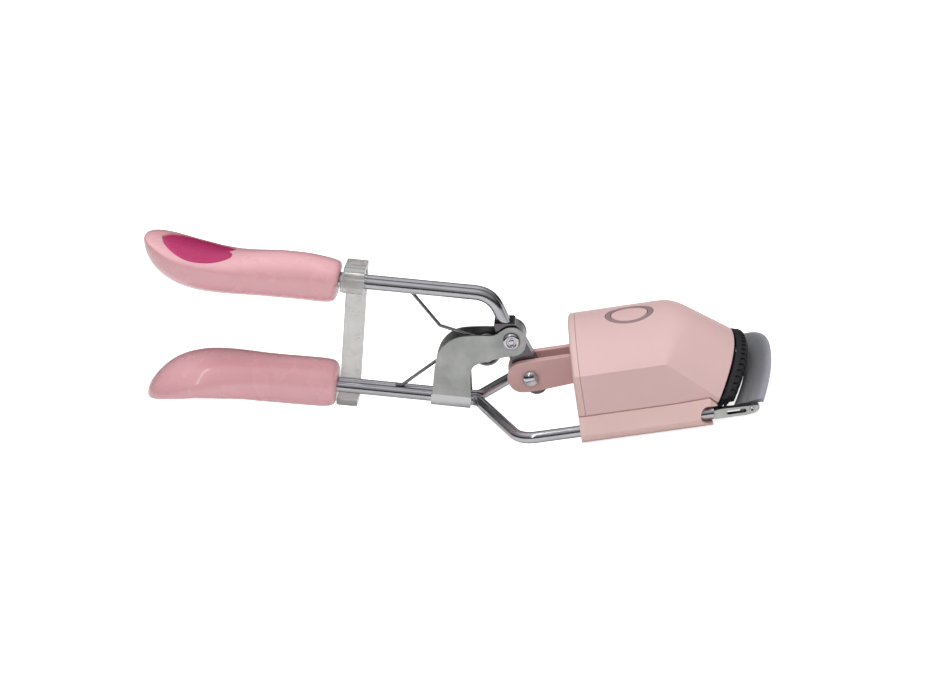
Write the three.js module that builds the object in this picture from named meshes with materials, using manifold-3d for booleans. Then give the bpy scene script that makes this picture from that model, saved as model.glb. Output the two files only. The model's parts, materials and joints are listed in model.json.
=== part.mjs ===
// Heated eyelash curler: a two-wire frame with a fixed curved jaw, a sprung hand
// lever, and a battery housing with a heated comb that slides along the frame
// wires and closes on the jaw.
//
// Millimetres. Pieces are drawn with x along the slide axis to the jaw (front is
// +x, rear is -x), y towards the side with the power button and z across the jaw
// (near is +z, far is -z). The exported group turns this so that +X runs to the
// jaw and +Z is the button side, with its origin at the centre of the whole box.
import * as THREE from 'three';
import { mergeVertices } from 'three/addons/utils/BufferGeometryUtils.js';
import Module from 'manifold-3d';

const wasm = await Module();
wasm.setup();

// ---------------------------------------------------------------- shared dimensions
const BOX_CENTRE = { x: -23.5421, y: 21.7906 };
const SIDE = { near: 1, far: -1 };
const SIDES = [-1, 1];

const WIRE_RADIUS = 1.1;
const PAIR_Z = 1.12;                     // half spacing of the paired wires
const GUIDE_Z = 18.0;                    // half spacing of the splayed guide wires
const GUIDE_Y = 0.1;

// pins and coil, axes along z: [x, y]
const PIVOT = [-11.3, 14.1];             // lever on bracket
const CRANK = [-8.8, 6.2];               // lever on link arms
const LINK_PIN = [3.1, 6.5];             // link arms on rear cap lugs
const COIL = [-16.6, 12.15];

// grip roots, and directions along the wires towards the jaw
const UPPER_ROOT = [-42.45, 30.75];
const UPPER_DIR = [0.9675, -0.2529];
const LOWER_ROOT = [-46.9, 9.42];
const LOWER_DIR = [0.9672, -0.2539];

const HOUSE = {
  crestY: 15.4,                          // top of the arc across the housing
  arcRadius: 31.5,
  topZ: 17.0,                            // half width at the ends of the arc
  footZ: 18.0,                           // half width at the foot of the side facets
  wall: 1.3,
  rearX: -0.25,
  seamX: 1.1,                            // seam between rear cap and shell
  ledgeY: 2.9,                           // where shell and cap meet the rails
};
const SHELL_FOOT_Y = HOUSE.ledgeY + 0.08;
const SCREW = { rearX: 4.0, frontX: 20.6, z: 11.5 };
const BUTTON = { x: 11.7, ringRadius: 4.6, ringWidth: 0.95, sides: 40 };

// ---------------------------------------------------------------- flat geometry
const vec = (x, y, z) => new THREE.Vector3(x, y, z);

// [x, y] at a distance along a direction and a distance to the left of it
function inFrame(origin, dir, along, out) {
  return [
    origin[0] + dir[0] * along - dir[1] * out,
    origin[1] + dir[1] * along + dir[0] * out,
  ];
}

function arcPoints(centre, radius, from, to, steps) {
  return Array.from({ length: steps + 1 }, (_, i) => {
    const angle = from + ((to - from) * i) / steps;
    return [centre[0] + radius * Math.cos(angle), centre[1] + radius * Math.sin(angle)];
  });
}

const circlePoints = (centre, radius, count) =>
  arcPoints(centre, radius, 0, 2 * Math.PI, count).slice(0, -1);

function smoothLine(points, divisions) {
  const stations = points.map(([x, y]) => vec(x, y, 0));
  const curve = new THREE.CatmullRomCurve3(stations, false, 'centripetal');
  return curve.getPoints(divisions).map((p) => [p.x, p.y]);
}

function polyShape(points) {
  const shape = new THREE.Shape();
  points.forEach(([x, y], i) => (i ? shape.lineTo(x, y) : shape.moveTo(x, y)));
  shape.closePath();
  return shape;
}

// round-ended slot between two end centres at the same y
function slotShape(x0, x1, y, radius) {
  const shape = new THREE.Shape();
  shape.absarc(x0, y, radius, Math.PI / 2, 1.5 * Math.PI, false);
  shape.absarc(x1, y, radius, -Math.PI / 2, Math.PI / 2, false);
  shape.closePath();
  return shape;
}

function convexHull(points) {
  const sorted = points.slice().sort((a, b) => a[0] - b[0] || a[1] - b[1]);
  const cross = (o, a, b) =>
    (a[0] - o[0]) * (b[1] - o[1]) - (a[1] - o[1]) * (b[0] - o[0]);
  const chain = (list) => {
    const hull = [];
    for (const p of list) {
      while (hull.length > 1 && cross(hull.at(-2), hull.at(-1), p) <= 1e-9) hull.pop();
      hull.push(p);
    }
    return hull.slice(0, -1);
  };
  return chain(sorted).concat(chain(sorted.slice().reverse()));
}

// ---------------------------------------------------------------- solids
// faceOut turns the triangles over if they enclose a negative volume
function solidOf(geometry, faceOut = false) {
  const bare = geometry.clone();
  for (const name of Object.keys(bare.attributes)) {
    if (name !== 'position') bare.deleteAttribute(name);
  }
  const merged = mergeVertices(bare, 1e-4);
  const vertProperties = Float32Array.from(merged.attributes.position.array);
  const triVerts = Uint32Array.from(merged.index.array);
  const build = () =>
    new wasm.Manifold(new wasm.Mesh({ numProp: 3, vertProperties, triVerts }));
  const solid = build();
  if (!faceOut || solid.volume() >= 0) return solid;
  for (let i = 0; i < triVerts.length; i += 3) {
    [triVerts[i], triVerts[i + 1]] = [triVerts[i + 1], triVerts[i]];
  }
  return build();
}

function solidFromTriangles(points, index) {
  const geometry = new THREE.BufferGeometry().setFromPoints(points);
  geometry.setIndex(index);
  return solidOf(geometry, true);
}

function geometryOf(solid) {
  const mesh = solid.getMesh();
  const geometry = new THREE.BufferGeometry();
  const positions = Float32Array.from(mesh.vertProperties);
  geometry.setAttribute('position', new THREE.BufferAttribute(positions, 3));
  geometry.setIndex(new THREE.BufferAttribute(Uint32Array.from(mesh.triVerts), 1));
  geometry.computeVertexNormals();
  return geometry;
}

const cut = (solid, ...tools) => tools.reduce((rest, tool) => rest.subtract(tool), solid);
const join = (solid, ...parts) => parts.reduce((sum, part) => sum.add(part), solid);

// a z range on the chosen side, given by its distances from the middle plane
const zSpan = (side, inner, outer) => (side > 0 ? [inner, outer] : [-outer, -inner]);
const around = (middle, half) => [middle - half, middle + half];

function box([x0, x1], [y0, y1], [z0, z1]) {
  const geometry = new THREE.BoxGeometry(x1 - x0, y1 - y0, z1 - z0);
  geometry.translate((x0 + x1) / 2, (y0 + y1) / 2, (z0 + z1) / 2);
  return solidOf(geometry);
}

const cylinder = (radius, [from, to], sides) =>
  new THREE.CylinderGeometry(radius, radius, to - from, sides);

function rodX(radius, span, y, z, sides = 24) {
  const geometry = cylinder(radius, span, sides).rotateZ(-Math.PI / 2);
  return solidOf(geometry.translate((span[0] + span[1]) / 2, y, z));
}

function rodY(radius, span, x, z, sides = 24) {
  return solidOf(cylinder(radius, span, sides).translate(x, (span[0] + span[1]) / 2, z));
}

function rodZ(radius, span, [x, y], sides = 24) {
  const geometry = cylinder(radius, span, sides).rotateX(Math.PI / 2);
  return solidOf(geometry.translate(x, y, (span[0] + span[1]) / 2));
}

// turned part along z from a profile of [radius, z]
function turned(profile, [x, y], sides = 20) {
  const points = profile.map(([radius, z]) => new THREE.Vector2(radius, z));
  const geometry = new THREE.LatheGeometry(points, sides).rotateX(Math.PI / 2);
  return solidOf(geometry.translate(x, y, 0), true);
}

function extrude(shape, depth, curveSegments = 10) {
  const options = { depth, bevelEnabled: false, steps: 1, curveSegments };
  return new THREE.ExtrudeGeometry(shape, options);
}

// flat plate in the xy plane
function plate(shape, [z0, z1]) {
  return solidOf(extrude(shape, z1 - z0).translate(0, 0, z0));
}

const sidePlates = (shape, inner, outer) =>
  SIDES.map((side) => plate(shape, zSpan(side, inner, outer)));

// bar along x from a section whose shape x runs along z
function barX(shape, [x0, x1], curveSegments) {
  const geometry = extrude(shape, x1 - x0, curveSegments).rotateY(-Math.PI / 2);
  return solidOf(geometry.translate(x1, 0, 0));
}

// extrusion path through given stations, so that straight runs cost no extra facets
class StationCurve extends THREE.Curve {
  constructor(stations) {
    super();
    this.stations = stations;
  }

  getSpacedPoints() {
    return this.stations;
  }

  getTangentAt(u) {
    const last = this.stations.length - 1;
    const i = Math.round(THREE.MathUtils.clamp(u, 0, 1) * last);
    const here = this.stations[i];
    const before = here.clone().sub(this.stations[Math.max(0, i - 1)]).normalize();
    const after = this.stations[Math.min(last, i + 1)].clone().sub(here).normalize();
    return before.add(after).normalize();
  }
}

function tube(stations, radius, sides = 14) {
  return solidOf(new THREE.ExtrudeGeometry(polyShape(circlePoints([0, 0], radius, sides)), {
    steps: stations.length - 1,
    bevelEnabled: false,
    extrudePath: new StationCurve(stations),
  }));
}

// stations of a polyline with rounded corners, one radius for each inner point
function filletPath(points, radii) {
  const steps = 7;
  const stations = [points[0]];
  radii.forEach((radius, i) => {
    const corner = points[i + 1];
    const back = points[i].clone().sub(corner).normalize();
    const ahead = points[i + 2].clone().sub(corner).normalize();
    const halfAngle = Math.acos(THREE.MathUtils.clamp(back.dot(ahead), -1, 1)) / 2;
    const reach = radius / Math.tan(halfAngle);
    const bend = new THREE.QuadraticBezierCurve3(
      corner.clone().addScaledVector(back, reach),
      corner,
      corner.clone().addScaledVector(ahead, reach),
    );
    stations.push(...bend.getPoints(steps));
  });
  stations.push(points.at(-1));
  return stations;
}

const pushQuad = (index, a, b, c, d) => index.push(a, b, c, a, c, d);

// closed solid through a row of equal-length loops, with fans over both ends
function loft(loops) {
  const count = loops[0].length;
  const points = loops.flat();
  const index = [];
  for (let i = 0; i < loops.length - 1; i++) {
    for (let j = 0; j < count; j++) {
      const a = i * count + j;
      const b = i * count + ((j + 1) % count);
      pushQuad(index, a, b, b + count, a + count);
    }
  }
  for (const end of [0, loops.length - 1]) {
    const middle = points.length;
    const sum = loops[end].reduce((total, p) => total.add(p), vec(0, 0, 0));
    points.push(sum.multiplyScalar(1 / count));
    for (let j = 0; j < count; j++) {
      const a = end * count + j;
      const b = end * count + ((j + 1) % count);
      if (end > 0) index.push(middle, a, b);
      else index.push(middle, b, a);
    }
  }
  return solidFromTriangles(points, index);
}

// closed solid between two equal grids of points
function sheet(outerGrid, innerGrid) {
  const rows = outerGrid.length;
  const columns = outerGrid[0].length;
  const index = [];
  const outer = (i, j) => i * columns + j;
  const inner = (i, j) => (rows + i) * columns + j;
  for (let i = 0; i < rows - 1; i++) {
    for (let j = 0; j < columns - 1; j++) {
      pushQuad(index, outer(i, j), outer(i + 1, j), outer(i + 1, j + 1), outer(i, j + 1));
      pushQuad(index, inner(i, j), inner(i, j + 1), inner(i + 1, j + 1), inner(i + 1, j));
    }
  }
  const rim = ([i0, j0], [i1, j1]) =>
    pushQuad(index, outer(i0, j0), outer(i1, j1), inner(i1, j1), inner(i0, j0));
  for (let j = 0; j < columns - 1; j++) {
    rim([0, j], [0, j + 1]);
    rim([rows - 1, j + 1], [rows - 1, j]);
  }
  for (let i = 0; i < rows - 1; i++) {
    rim([i + 1, 0], [i, 0]);
    rim([i, columns - 1], [i + 1, columns - 1]);
  }
  return solidFromTriangles([...outerGrid.flat(), ...innerGrid.flat()], index);
}

// Point on an arc across the jaw, through a crest at z = 0 and two mirrored ends,
// swept back towards the ends. t runs from -1 to 1.
function arcPoint([crestX, crestY, endX, endY, endZ], t) {
  const rise = crestY - endY;
  const radius = (endZ * endZ + rise * rise) / (2 * rise);
  const endAngle = Math.asin(Math.min(1, endZ / radius));
  const angle = t * endAngle;
  const sweepBack = (1 - Math.cos(angle)) / (1 - Math.cos(endAngle));
  return vec(
    crestX + (endX - crestX) * sweepBack,
    crestY - radius * (1 - Math.cos(angle)),
    radius * Math.sin(angle),
  );
}

// Solid swept across the jaw. Each profile row is one arc along an edge:
// [crest x, crest y, end x, end y, end z].
function arcSolid(profile, steps, t0 = -1, t1 = 1) {
  return loft(Array.from({ length: steps + 1 }, (_, i) => {
    const t = t0 + ((t1 - t0) * i) / steps;
    return profile.map((arc) => arcPoint(arc, t));
  }));
}

// ---------------------------------------------------------------- frame wires
const FRAME_WIRE = {
  rearX: -74,
  split: [-19.9, 2.36],                  // where the lower wires part
  bendX: -11.5,                          // where they turn parallel again
  frontX: 24.35,                         // where they meet the jaw flanges
  bendRadii: [2.2, 5.0],
};
const lowerWireY = (x) => 2.75 - 0.2625 * (x + 21.5);

function frameWire(side) {
  const { rearX, split, bendX, frontX, bendRadii } = FRAME_WIRE;
  return tube(filletPath([
    vec(rearX, lowerWireY(rearX), side * PAIR_Z),
    vec(...split, side * PAIR_Z),
    vec(bendX, GUIDE_Y, side * GUIDE_Z),
    vec(frontX, GUIDE_Y, side * GUIDE_Z),
  ], bendRadii), WIRE_RADIUS);
}

// ---------------------------------------------------------------- bracket
const EAR_RADIUS = 2.85;
const BRACKET_Z = { inner: 2.35, outer: 2.95 };   // faces of the side plates

// side plate edges [x, y]: rear and top up to the ear, then from the ear back below
const BRACKET_TOP = [
  [-28.6, 4.4], [-27.6, 8.6], [-26.5, 12.2], [-25.5, 14.0], [-23.9, 15.5], [-22.2, 16.3],
  [-20.6, 16.5], [-17.1, 16.15], [-14.7, 15.8], [-13.9, 15.95], [-13.2, 16.35],
];
const BRACKET_BOTTOM = [
  [-9.05, 12.1], [-9.7, 11.5], [-10.8, 11.1], [-12.5, 11.1], [-14.4, 11.0], [-16.6, 10.75],
  [-18.4, 10.5], [-19.4, 10.1], [-20.0, 9.3], [-20.5, 7.5], [-21.1, 2.9],
];

function bracketOutline() {
  const angleTo = ([x, y]) => Math.atan2(y - PIVOT[1], x - PIVOT[0]);
  const from = angleTo(BRACKET_TOP.at(-1));
  const to = angleTo(BRACKET_BOTTOM[0]);
  return [
    ...smoothLine(BRACKET_TOP, 26),
    ...arcPoints(PIVOT, EAR_RADIUS, from, to, 12).slice(1, -1),
    ...smoothLine(BRACKET_BOTTOM, 22),
  ];
}
const BRACKET_OUTLINE = bracketOutline();

// U section around the lower wires, swept along them between two x stations
function saddle({ halfWidth, drop, radius, top, xs }) {
  const turn = (z, from) =>
    arcPoints([z, radius - drop], radius, from, from + Math.PI / 2, 6).slice(1, -1);
  const section = [
    [-halfWidth, top], [-halfWidth, radius - drop],
    ...turn(radius - halfWidth, Math.PI),
    [radius - halfWidth, -drop], [halfWidth - radius, -drop],
    ...turn(halfWidth - radius, -Math.PI / 2),
    [halfWidth, radius - drop], [halfWidth, top],
  ];
  return loft(xs.map((x) => section.map(([z, out]) =>
    vec(...inFrame([x, lowerWireY(x)], LOWER_DIR, 0, out), z))));
}

function bracket() {
  const { inner, outer } = BRACKET_Z;
  const plates = sidePlates(polyShape(BRACKET_OUTLINE), inner, outer);
  const fold = saddle({
    halfWidth: outer, drop: 1.6, radius: 1.55, top: 1.0, xs: [-28.8, -21.2],
  });
  const bore = saddle({
    halfWidth: inner, drop: 1.13, radius: 1.1, top: 3.0, xs: [-31, -19],
  });
  return cut(
    join(...plates, fold),
    bore,
    rodZ(0.95, [-5, 5], PIVOT),
    rodZ(0.78, [-2.9, 2.9], COIL),
  );
}

// ---------------------------------------------------------------- turned pins
// profiles of [radius, z]
const PIVOT_PIN = [                      // peened tail, then a dished head
  [0, -3.8], [1.0, -3.8], [1.5, -3.55], [1.65, -3.2], [1.65, -3.02], [0.82, -3.02],
  [0.82, 3.02], [1.7, 3.02], [1.7, 3.4], [1.55, 3.65], [1.15, 3.75], [0.85, 3.65],
  [0.6, 3.4], [0, 3.4],
];
const SPRING_POST = [                    // holds the coil between the bracket plates
  [0, -2.8], [0.7, -2.8], [0.7, -2.3], [1.85, -2.28],
  [1.85, 2.28], [0.7, 2.3], [0.7, 2.8], [0, 2.8],
];
const CRANK_PIN = [                      // domed head at +z
  [0, -4.5], [0.7, -4.45], [1.25, -4.2], [1.5, -3.85], [1.5, -3.72], [0.85, -3.72],
  [0.85, 3.72], [1.6, 3.72], [1.6, 3.9], [1.35, 4.3], [0.85, 4.6], [0.35, 4.7], [0, 4.72],
];

// ---------------------------------------------------------------- spring
const SPRING = {
  wireRadius: 0.33,
  wireSides: 6,
  coilRadius: 2.55,
  extraTurns: 4,
  endZ: 1.62,                            // the coil runs from -endZ to endZ
  stepAngle: 0.42,
};

// coil angle at which a line from a point touches the coil
function tangentAngle(point, turn) {
  const dx = point.x - COIL[0];
  const dy = point.y - COIL[1];
  return Math.atan2(dy, dx) + turn * Math.acos(SPRING.coilRadius / Math.hypot(dx, dy));
}

function torsionSpring() {
  const { wireRadius, wireSides, coilRadius, extraTurns, endZ, stepAngle } = SPRING;
  const lowerKink = vec(-26.7, 10.95, -endZ);
  const upperKink = vec(-24.5, 19.0, endZ);
  const from = tangentAngle(lowerKink, 1);
  const to = tangentAngle(upperKink, -1);
  let sweep = to - from;
  while (sweep < 0) sweep += 2 * Math.PI;
  sweep += extraTurns * 2 * Math.PI;
  const onCoil = (angle, z) =>
    vec(COIL[0] + coilRadius * Math.cos(angle), COIL[1] + coilRadius * Math.sin(angle), z);
  const steps = Math.round(sweep / stepAngle);
  const coil = Array.from({ length: steps }, (_, i) =>
    onCoil(from + (sweep * i) / steps, -endZ + (2 * endZ * i) / steps));
  return tube([
    vec(-35.6, 7.6, 0),
    vec(-34.4, 7.33, 0),
    vec(-27.2, 10.7, 0.1 - endZ),
    lowerKink,
    vec(-26.1, 10.97, -endZ),
    ...coil,
    onCoil(to, endZ),
    vec(-24.0, 18.8, endZ),
    upperKink,
    vec(-24.85, 19.45, 1.5),
    vec(-28.55, 25.45, 0.15),
    vec(-28.95, 26.0, 0),
  ], wireRadius, wireSides);
}

// ---------------------------------------------------------------- grips
// Sections of both grips. Own axes: s from the root away from the jaw, height
// towards the outer face, z across. Columns: s, middle, half width, then top,
// bottom and top squareness of the upper grip, and the same of the lower grip.
const GRIP_STATIONS = [
  [0.0, 0.0, 4.0, /* */ 2.5, -3.2, 2.2, /* */ 3.2, -3.4, 2.2],
  [0.35, 0.0, 4.7, /* */ 3.1, -3.95, 2.2, /* */ 3.8, -4.2, 2.2],
  [1.1, 0.0, 5.1, /* */ 3.5, -4.4, 2.2, /* */ 4.15, -4.75, 2.2],
  [3.0, 0.0, 5.25, /* */ 3.95, -4.6, 2.2, /* */ 4.4, -4.95, 2.2],
  [7.0, 0.0, 5.35, /* */ 4.4, -4.5, 2.2, /* */ 4.5, -4.9, 2.2],
  [11.0, 0.0, 5.5, /* */ 4.45, -4.5, 2.1, /* */ 4.6, -4.8, 2.1],
  [15.0, 0.0, 5.8, /* */ 4.15, -4.5, 2.1, /* */ 4.6, -4.75, 2.1],
  [18.0, 0.3, 6.3, /* */ 3.85, -4.55, 2.1, /* */ 4.45, -4.8, 2.1],
  [21.0, 0.7, 6.9, /* */ 3.65, -4.6, 2.1, /* */ 4.3, -4.8, 2.2],
  [24.0, 1.2, 7.5, /* */ 3.65, -4.55, 2.1, /* */ 4.2, -4.65, 2.3],
  [27.0, 1.7, 7.9, /* */ 3.95, -4.35, 2.1, /* */ 4.25, -4.3, 2.3],
  [30.0, 2.3, 7.95, /* */ 4.4, -3.8, 2.1, /* */ 4.45, -3.55, 2.3],
  [32.5, 3.0, 7.5, /* */ 4.95, -2.9, 2.1, /* */ 4.85, -2.55, 2.2],
  [34.5, 3.75, 6.7, /* */ 5.35, -1.85, 2.1, /* */ 5.25, -1.3, 2.1],
  [36.2, 4.35, 5.5, /* */ 5.65, -0.5, 2.1, /* */ 5.6, 0.25, 2.1],
  [37.5, 4.85, 4.0, /* */ 5.75, 1.2, 2.1, /* */ 5.75, 1.9, 2.1],
  [38.3, 5.0, 2.4, /* */ 5.65, 2.9, 2.0, /* */ 5.65, 3.3, 2.0],
  [38.6, 4.9, 1.0, /* */ 5.3, 4.3, 2.0, /* */ 5.3, 4.4, 2.0],
];
const GRIP_LENGTH_FACTOR = 0.972;        // true length over s
const GRIP_SIDES = 28;
const BOTTOM_SQUARENESS = 2.05;
const SOCKET = { clearance: 0.2, from: -1.5, depth: 31, sides: 24 };

const gripStations = (firstColumn) => GRIP_STATIONS.map((row) => {
  const [s, middle, halfWidth] = row;
  const [top, bottom, squareness] = row.slice(firstColumn, firstColumn + 3);
  return { s, middle, halfWidth, top, bottom, squareness };
});

// out is the side of the wires the outer face is on; lean tilts the root end face
const UPPER_GRIP = {
  root: UPPER_ROOT, dir: UPPER_DIR, out: 1, lean: 0.2, stations: gripStations(3),
};
const LOWER_GRIP = {
  root: LOWER_ROOT, dir: LOWER_DIR, out: -1, lean: 0, stations: gripStations(6),
};

const gripPoint = ({ root, dir, out }, s, height, z) =>
  vec(...inFrame(root, dir, -GRIP_LENGTH_FACTOR * s, out * height), z);

function gripLoop(grip, { s, middle, halfWidth, top, bottom, squareness }) {
  return Array.from({ length: GRIP_SIDES }, (_, i) => {
    const angle = (2 * Math.PI * i) / GRIP_SIDES;
    const cos = Math.cos(angle);
    const sin = Math.sin(angle);
    const power = 2 / (sin >= 0 ? squareness : BOTTOM_SQUARENESS);
    const z = halfWidth * Math.sign(cos) * Math.abs(cos) ** power;
    const height = middle + ((sin >= 0 ? top : bottom) - middle) * Math.abs(sin) ** power;
    // the root end face leans over the wires on the outer side
    const shift = grip.lean * Math.max(0, height) * Math.max(0, 1 - s / 5);
    return gripPoint(grip, s - shift, height, z);
  });
}

// height of the outer face at (s, z)
function outerHeight({ stations }, s, z) {
  let i = 0;
  while (i < stations.length - 2 && s > stations[i + 1].s) i++;
  const [before, after] = [stations[i], stations[i + 1]];
  const f = (s - before.s) / (after.s - before.s);
  const at = (key) => before[key] + f * (after[key] - before[key]);
  const offCentre = Math.min(0.98, Math.abs(z) / at('halfWidth'));
  const squareness = at('squareness');
  const swell = (1 - offCentre ** squareness) ** (1 / squareness);
  return at('middle') + (at('top') - at('middle')) * swell;
}

// one half of the heart outline [s, z], from its tip towards the end of the grip
const HEART_HALF = [
  [35.1, 0], [34.5, 1.75], [33.9, 3.0], [32.5, 4.5], [31.0, 5.45], [29.4, 5.95], [27.5, 6.0],
  [25.6, 5.6], [23.7, 4.85], [22.1, 3.8], [21.1, 2.7], [20.85, 1.6], [21.2, 0.6],
];
const HEART = { notch: [21.75, 0], s: 27.5, z: 0.7, widening: 1.05, rings: 3 };

function heartOutline(scale) {
  const half = smoothLine(HEART_HALF, 26);
  const otherHalf = half.slice(1).reverse().map(([s, z]) => [s, -z]);
  return [...half, HEART.notch, ...otherHalf].map(([s, z]) => [
    HEART.s + (s - HEART.s) * scale,
    HEART.z + z * HEART.widening * scale,
  ]);
}

// heart-shaped prism between two offsets from the outer face
function heartSolid(grip, scale, lowOffset, highOffset) {
  const outline = heartOutline(scale);
  const count = outline.length;
  const block = HEART.rings * count + 1;  // points in one face, its centre last
  const points = [];
  const index = [];
  for (const offset of [lowOffset, highOffset]) {
    const push = (s, z) =>
      points.push(gripPoint(grip, s, outerHeight(grip, s, z) + offset, z));
    for (let ring = 1; ring <= HEART.rings; ring++) {
      const f = ring / HEART.rings;
      outline.forEach(([s, z]) =>
        push(HEART.s + (s - HEART.s) * f, HEART.z + (z - HEART.z) * f));
    }
    push(HEART.s, HEART.z);
  }
  const low = block - 1 - count;          // outermost ring of each face
  const high = low + block;
  for (let j = 0; j < count; j++) {
    const next = (j + 1) % count;
    for (let ring = 0; ring < HEART.rings - 1; ring++) {
      const [a, b] = [ring * count + j, ring * count + next];
      pushQuad(index, a, b, b + count, a + count);
      pushQuad(index, block + a, block + a + count, block + b + count, block + b);
    }
    index.push(block - 1, next, j);
    index.push(2 * block - 1, block + j, block + next);
    pushQuad(index, low + j, low + next, high + next, high + j);
  }
  return solidFromTriangles(points, index);
}

// rounded bore that takes both wires of a pair
function wireSocket({ root, dir }) {
  const radius = WIRE_RADIUS + SOCKET.clearance;
  return loft([SOCKET.from, SOCKET.depth].map((s) =>
    Array.from({ length: SOCKET.sides }, (_, i) => {
      const angle = (2 * Math.PI * i) / SOCKET.sides;
      const cos = Math.cos(angle);
      const z = PAIR_Z * Math.sign(cos) + radius * cos;
      return vec(...inFrame(root, dir, -s, radius * Math.sin(angle)), z);
    })));
}

function gripBody(grip) {
  const body = loft(grip.stations.map((station) => gripLoop(grip, station)));
  return cut(body, wireSocket(grip), heartSolid(grip, 1.02, -0.75, 2.5));
}

const gripInlay = (grip) => heartSolid(grip, 0.985, -0.68, -0.2);

// ---------------------------------------------------------------- lever
const LEVER_WIRE = {
  rearReach: 29,                         // length behind the root of the upper grip
  knee: [-13.8, 23.26],
  end: [-12.18, 17.32],
  kneeRadius: 5.6,
};
const HEAD_TOP = [-12.5, 18.5];
const HEAD_DIR = [0.2632, -0.9648];      // direction of the wire ends

function leverWire(side) {
  const { rearReach, knee, end, kneeRadius } = LEVER_WIRE;
  const rear = inFrame(UPPER_ROOT, UPPER_DIR, -rearReach, 0);
  const stations = [rear, knee, end].map((point) => vec(...point, side * PAIR_Z));
  return tube(filletPath(stations, [kneeRadius]), WIRE_RADIUS);
}

function turnedAboutPivot([x, y], angle) {
  const dx = x - PIVOT[0];
  const dy = y - PIVOT[1];
  return [
    PIVOT[0] + dx * Math.cos(angle) - dy * Math.sin(angle),
    PIVOT[1] + dx * Math.sin(angle) + dy * Math.cos(angle),
  ];
}

function leverHeadBody() {
  const corner = (along, out) => inFrame(HEAD_TOP, HEAD_DIR, along, out);
  const hullPlate = (points, halfZ) => plate(polyShape(convexHull(points)), [-halfZ, halfZ]);
  const block = hullPlate([
    corner(0, -1.6), corner(1.5, 1.7), corner(0.4, -1.85),
    corner(1.8, 1.9), corner(3.0, -2.1), corner(3.0, 2.1),
  ], 2.6);
  const cheek = hullPlate([
    corner(0.6, -1.8), corner(1.7, 1.8), ...circlePoints(PIVOT, 2.75, 28),
  ], 2.1);
  const blade = hullPlate([
    ...circlePoints(PIVOT, 2.2, 28), ...circlePoints([-7.95, 4.3], 2.2, 28),
  ], 1.7);
  return join(block, cheek, blade);
}

function leverHead() {
  let head = leverHeadBody();
  // the bracket plates pass beside the head with running clearance
  const ear = polyShape(circlePoints(PIVOT, EAR_RADIUS + 0.35, 28));
  head = cut(head, ...sidePlates(ear, 2.1, 4));
  const coarseOutline = BRACKET_OUTLINE.filter((_, i) => i % 2 === 0);
  const raise = 0.14;
  for (const angle of [0, -0.04, -0.085, -0.13, -0.17]) {
    const swept = coarseOutline.map(([x, y]) => turnedAboutPivot([x, y + raise], angle));
    head = cut(head, ...sidePlates(polyShape(swept), 2.2, 4));
  }
  // room for the spring coil through the whole swing of the lever
  for (const angle of [0, -0.085, -0.17]) {
    head = cut(head, rodZ(3.2, [-6, 6], turnedAboutPivot(COIL, angle), 40));
  }
  for (const side of SIDES) {
    const bore = [-3, 0.15].map((along) =>
      vec(...inFrame(LEVER_WIRE.end, HEAD_DIR, along, 0), side * PAIR_Z));
    head = cut(head, tube(bore, WIRE_RADIUS + 0.1));
  }
  return cut(head, rodZ(0.92, [-5, 5], PIVOT), rodZ(0.95, [-5, 5], CRANK));
}

// ---------------------------------------------------------------- link arms
const LINK_ARM = {
  bottomY: 3.5, topY: 9.65,
  rearX: -10.2,                          // centre of the rounded rear end
  frontRadius: 2.2,
  z: [1.9, 3.6],
};

function linkArm(side) {
  const { bottomY, topY, rearX, frontRadius, z } = LINK_ARM;
  const [pinX, pinY] = LINK_PIN;
  const rearCentre = [rearX, (bottomY + topY) / 2];
  const rearRadius = (topY - bottomY) / 2;
  const shape = polyShape([
    ...arcPoints(rearCentre, rearRadius, Math.PI / 2, 1.5 * Math.PI, 14),
    [-7.4, bottomY], [1.0, 4.15], [2.4, pinY - 2.1],
    ...arcPoints([pinX, pinY], frontRadius, -Math.PI / 2, Math.PI / 2, 8),
    [2.4, pinY + 2.3], [1.0, topY],
  ]);
  return cut(
    plate(shape, zSpan(side, ...z)),
    rodZ(1.08, [-6, 6], CRANK, 28),
    rodZ(0.9, [-6, 6], LINK_PIN),
  );
}

// ---------------------------------------------------------------- housing shell
const MOUTH = [30.85, 8.4, 25.9, 2.35, 17.0];   // arc of the front edge, as in arcSolid
const CREASE = { sideX: 17.1, crestX: 21.2 };   // where the top bends down to the mouth
const SHELL_TOP_STEPS = 20;
const FACET_STEPS = 3;
// last grid row of each run from rear to mouth
const ROW = { flat: 4, bend: 9, beforeMouth: 13, mouth: 14 };
const bendFraction = (row) => (row - ROW.flat) / (ROW.bend - ROW.flat);
const frontFraction = (row) => (row - ROW.bend) / (ROW.mouth - ROW.bend);

function topY(z) {
  const radius = HOUSE.arcRadius;
  return HOUSE.crestY - radius + Math.sqrt(radius * radius - z * z);
}

const SHELL_REAR_X = HOUSE.seamX + 0.06;

// point on the top at a fraction f of the half width, from -1 to 1
function shellTopPoint(f, row) {
  const z = f * HOUSE.topZ;
  const y = topY(z);
  const u = Math.abs(f);
  const creaseX = CREASE.crestX + (CREASE.sideX - CREASE.crestX) * u * u;
  const softness = 0.35 + 4.0 * (1 - u) ** 1.2;
  const knee = vec(creaseX, y, z);
  const mouth = arcPoint(MOUTH, f);
  const bendStart = vec(creaseX - softness, y, z);
  const forward = mouth.clone().sub(knee).normalize();
  const bendEnd = knee.clone().addScaledVector(forward, softness);
  if (row <= ROW.flat) return vec(SHELL_REAR_X, y, z).lerp(bendStart, row / ROW.flat);
  if (row <= ROW.bend) {
    const bend = new THREE.QuadraticBezierCurve3(bendStart, knee, bendEnd);
    return bend.getPoint(bendFraction(row));
  }
  return bendEnd.lerp(mouth, frontFraction(row));
}

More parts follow.
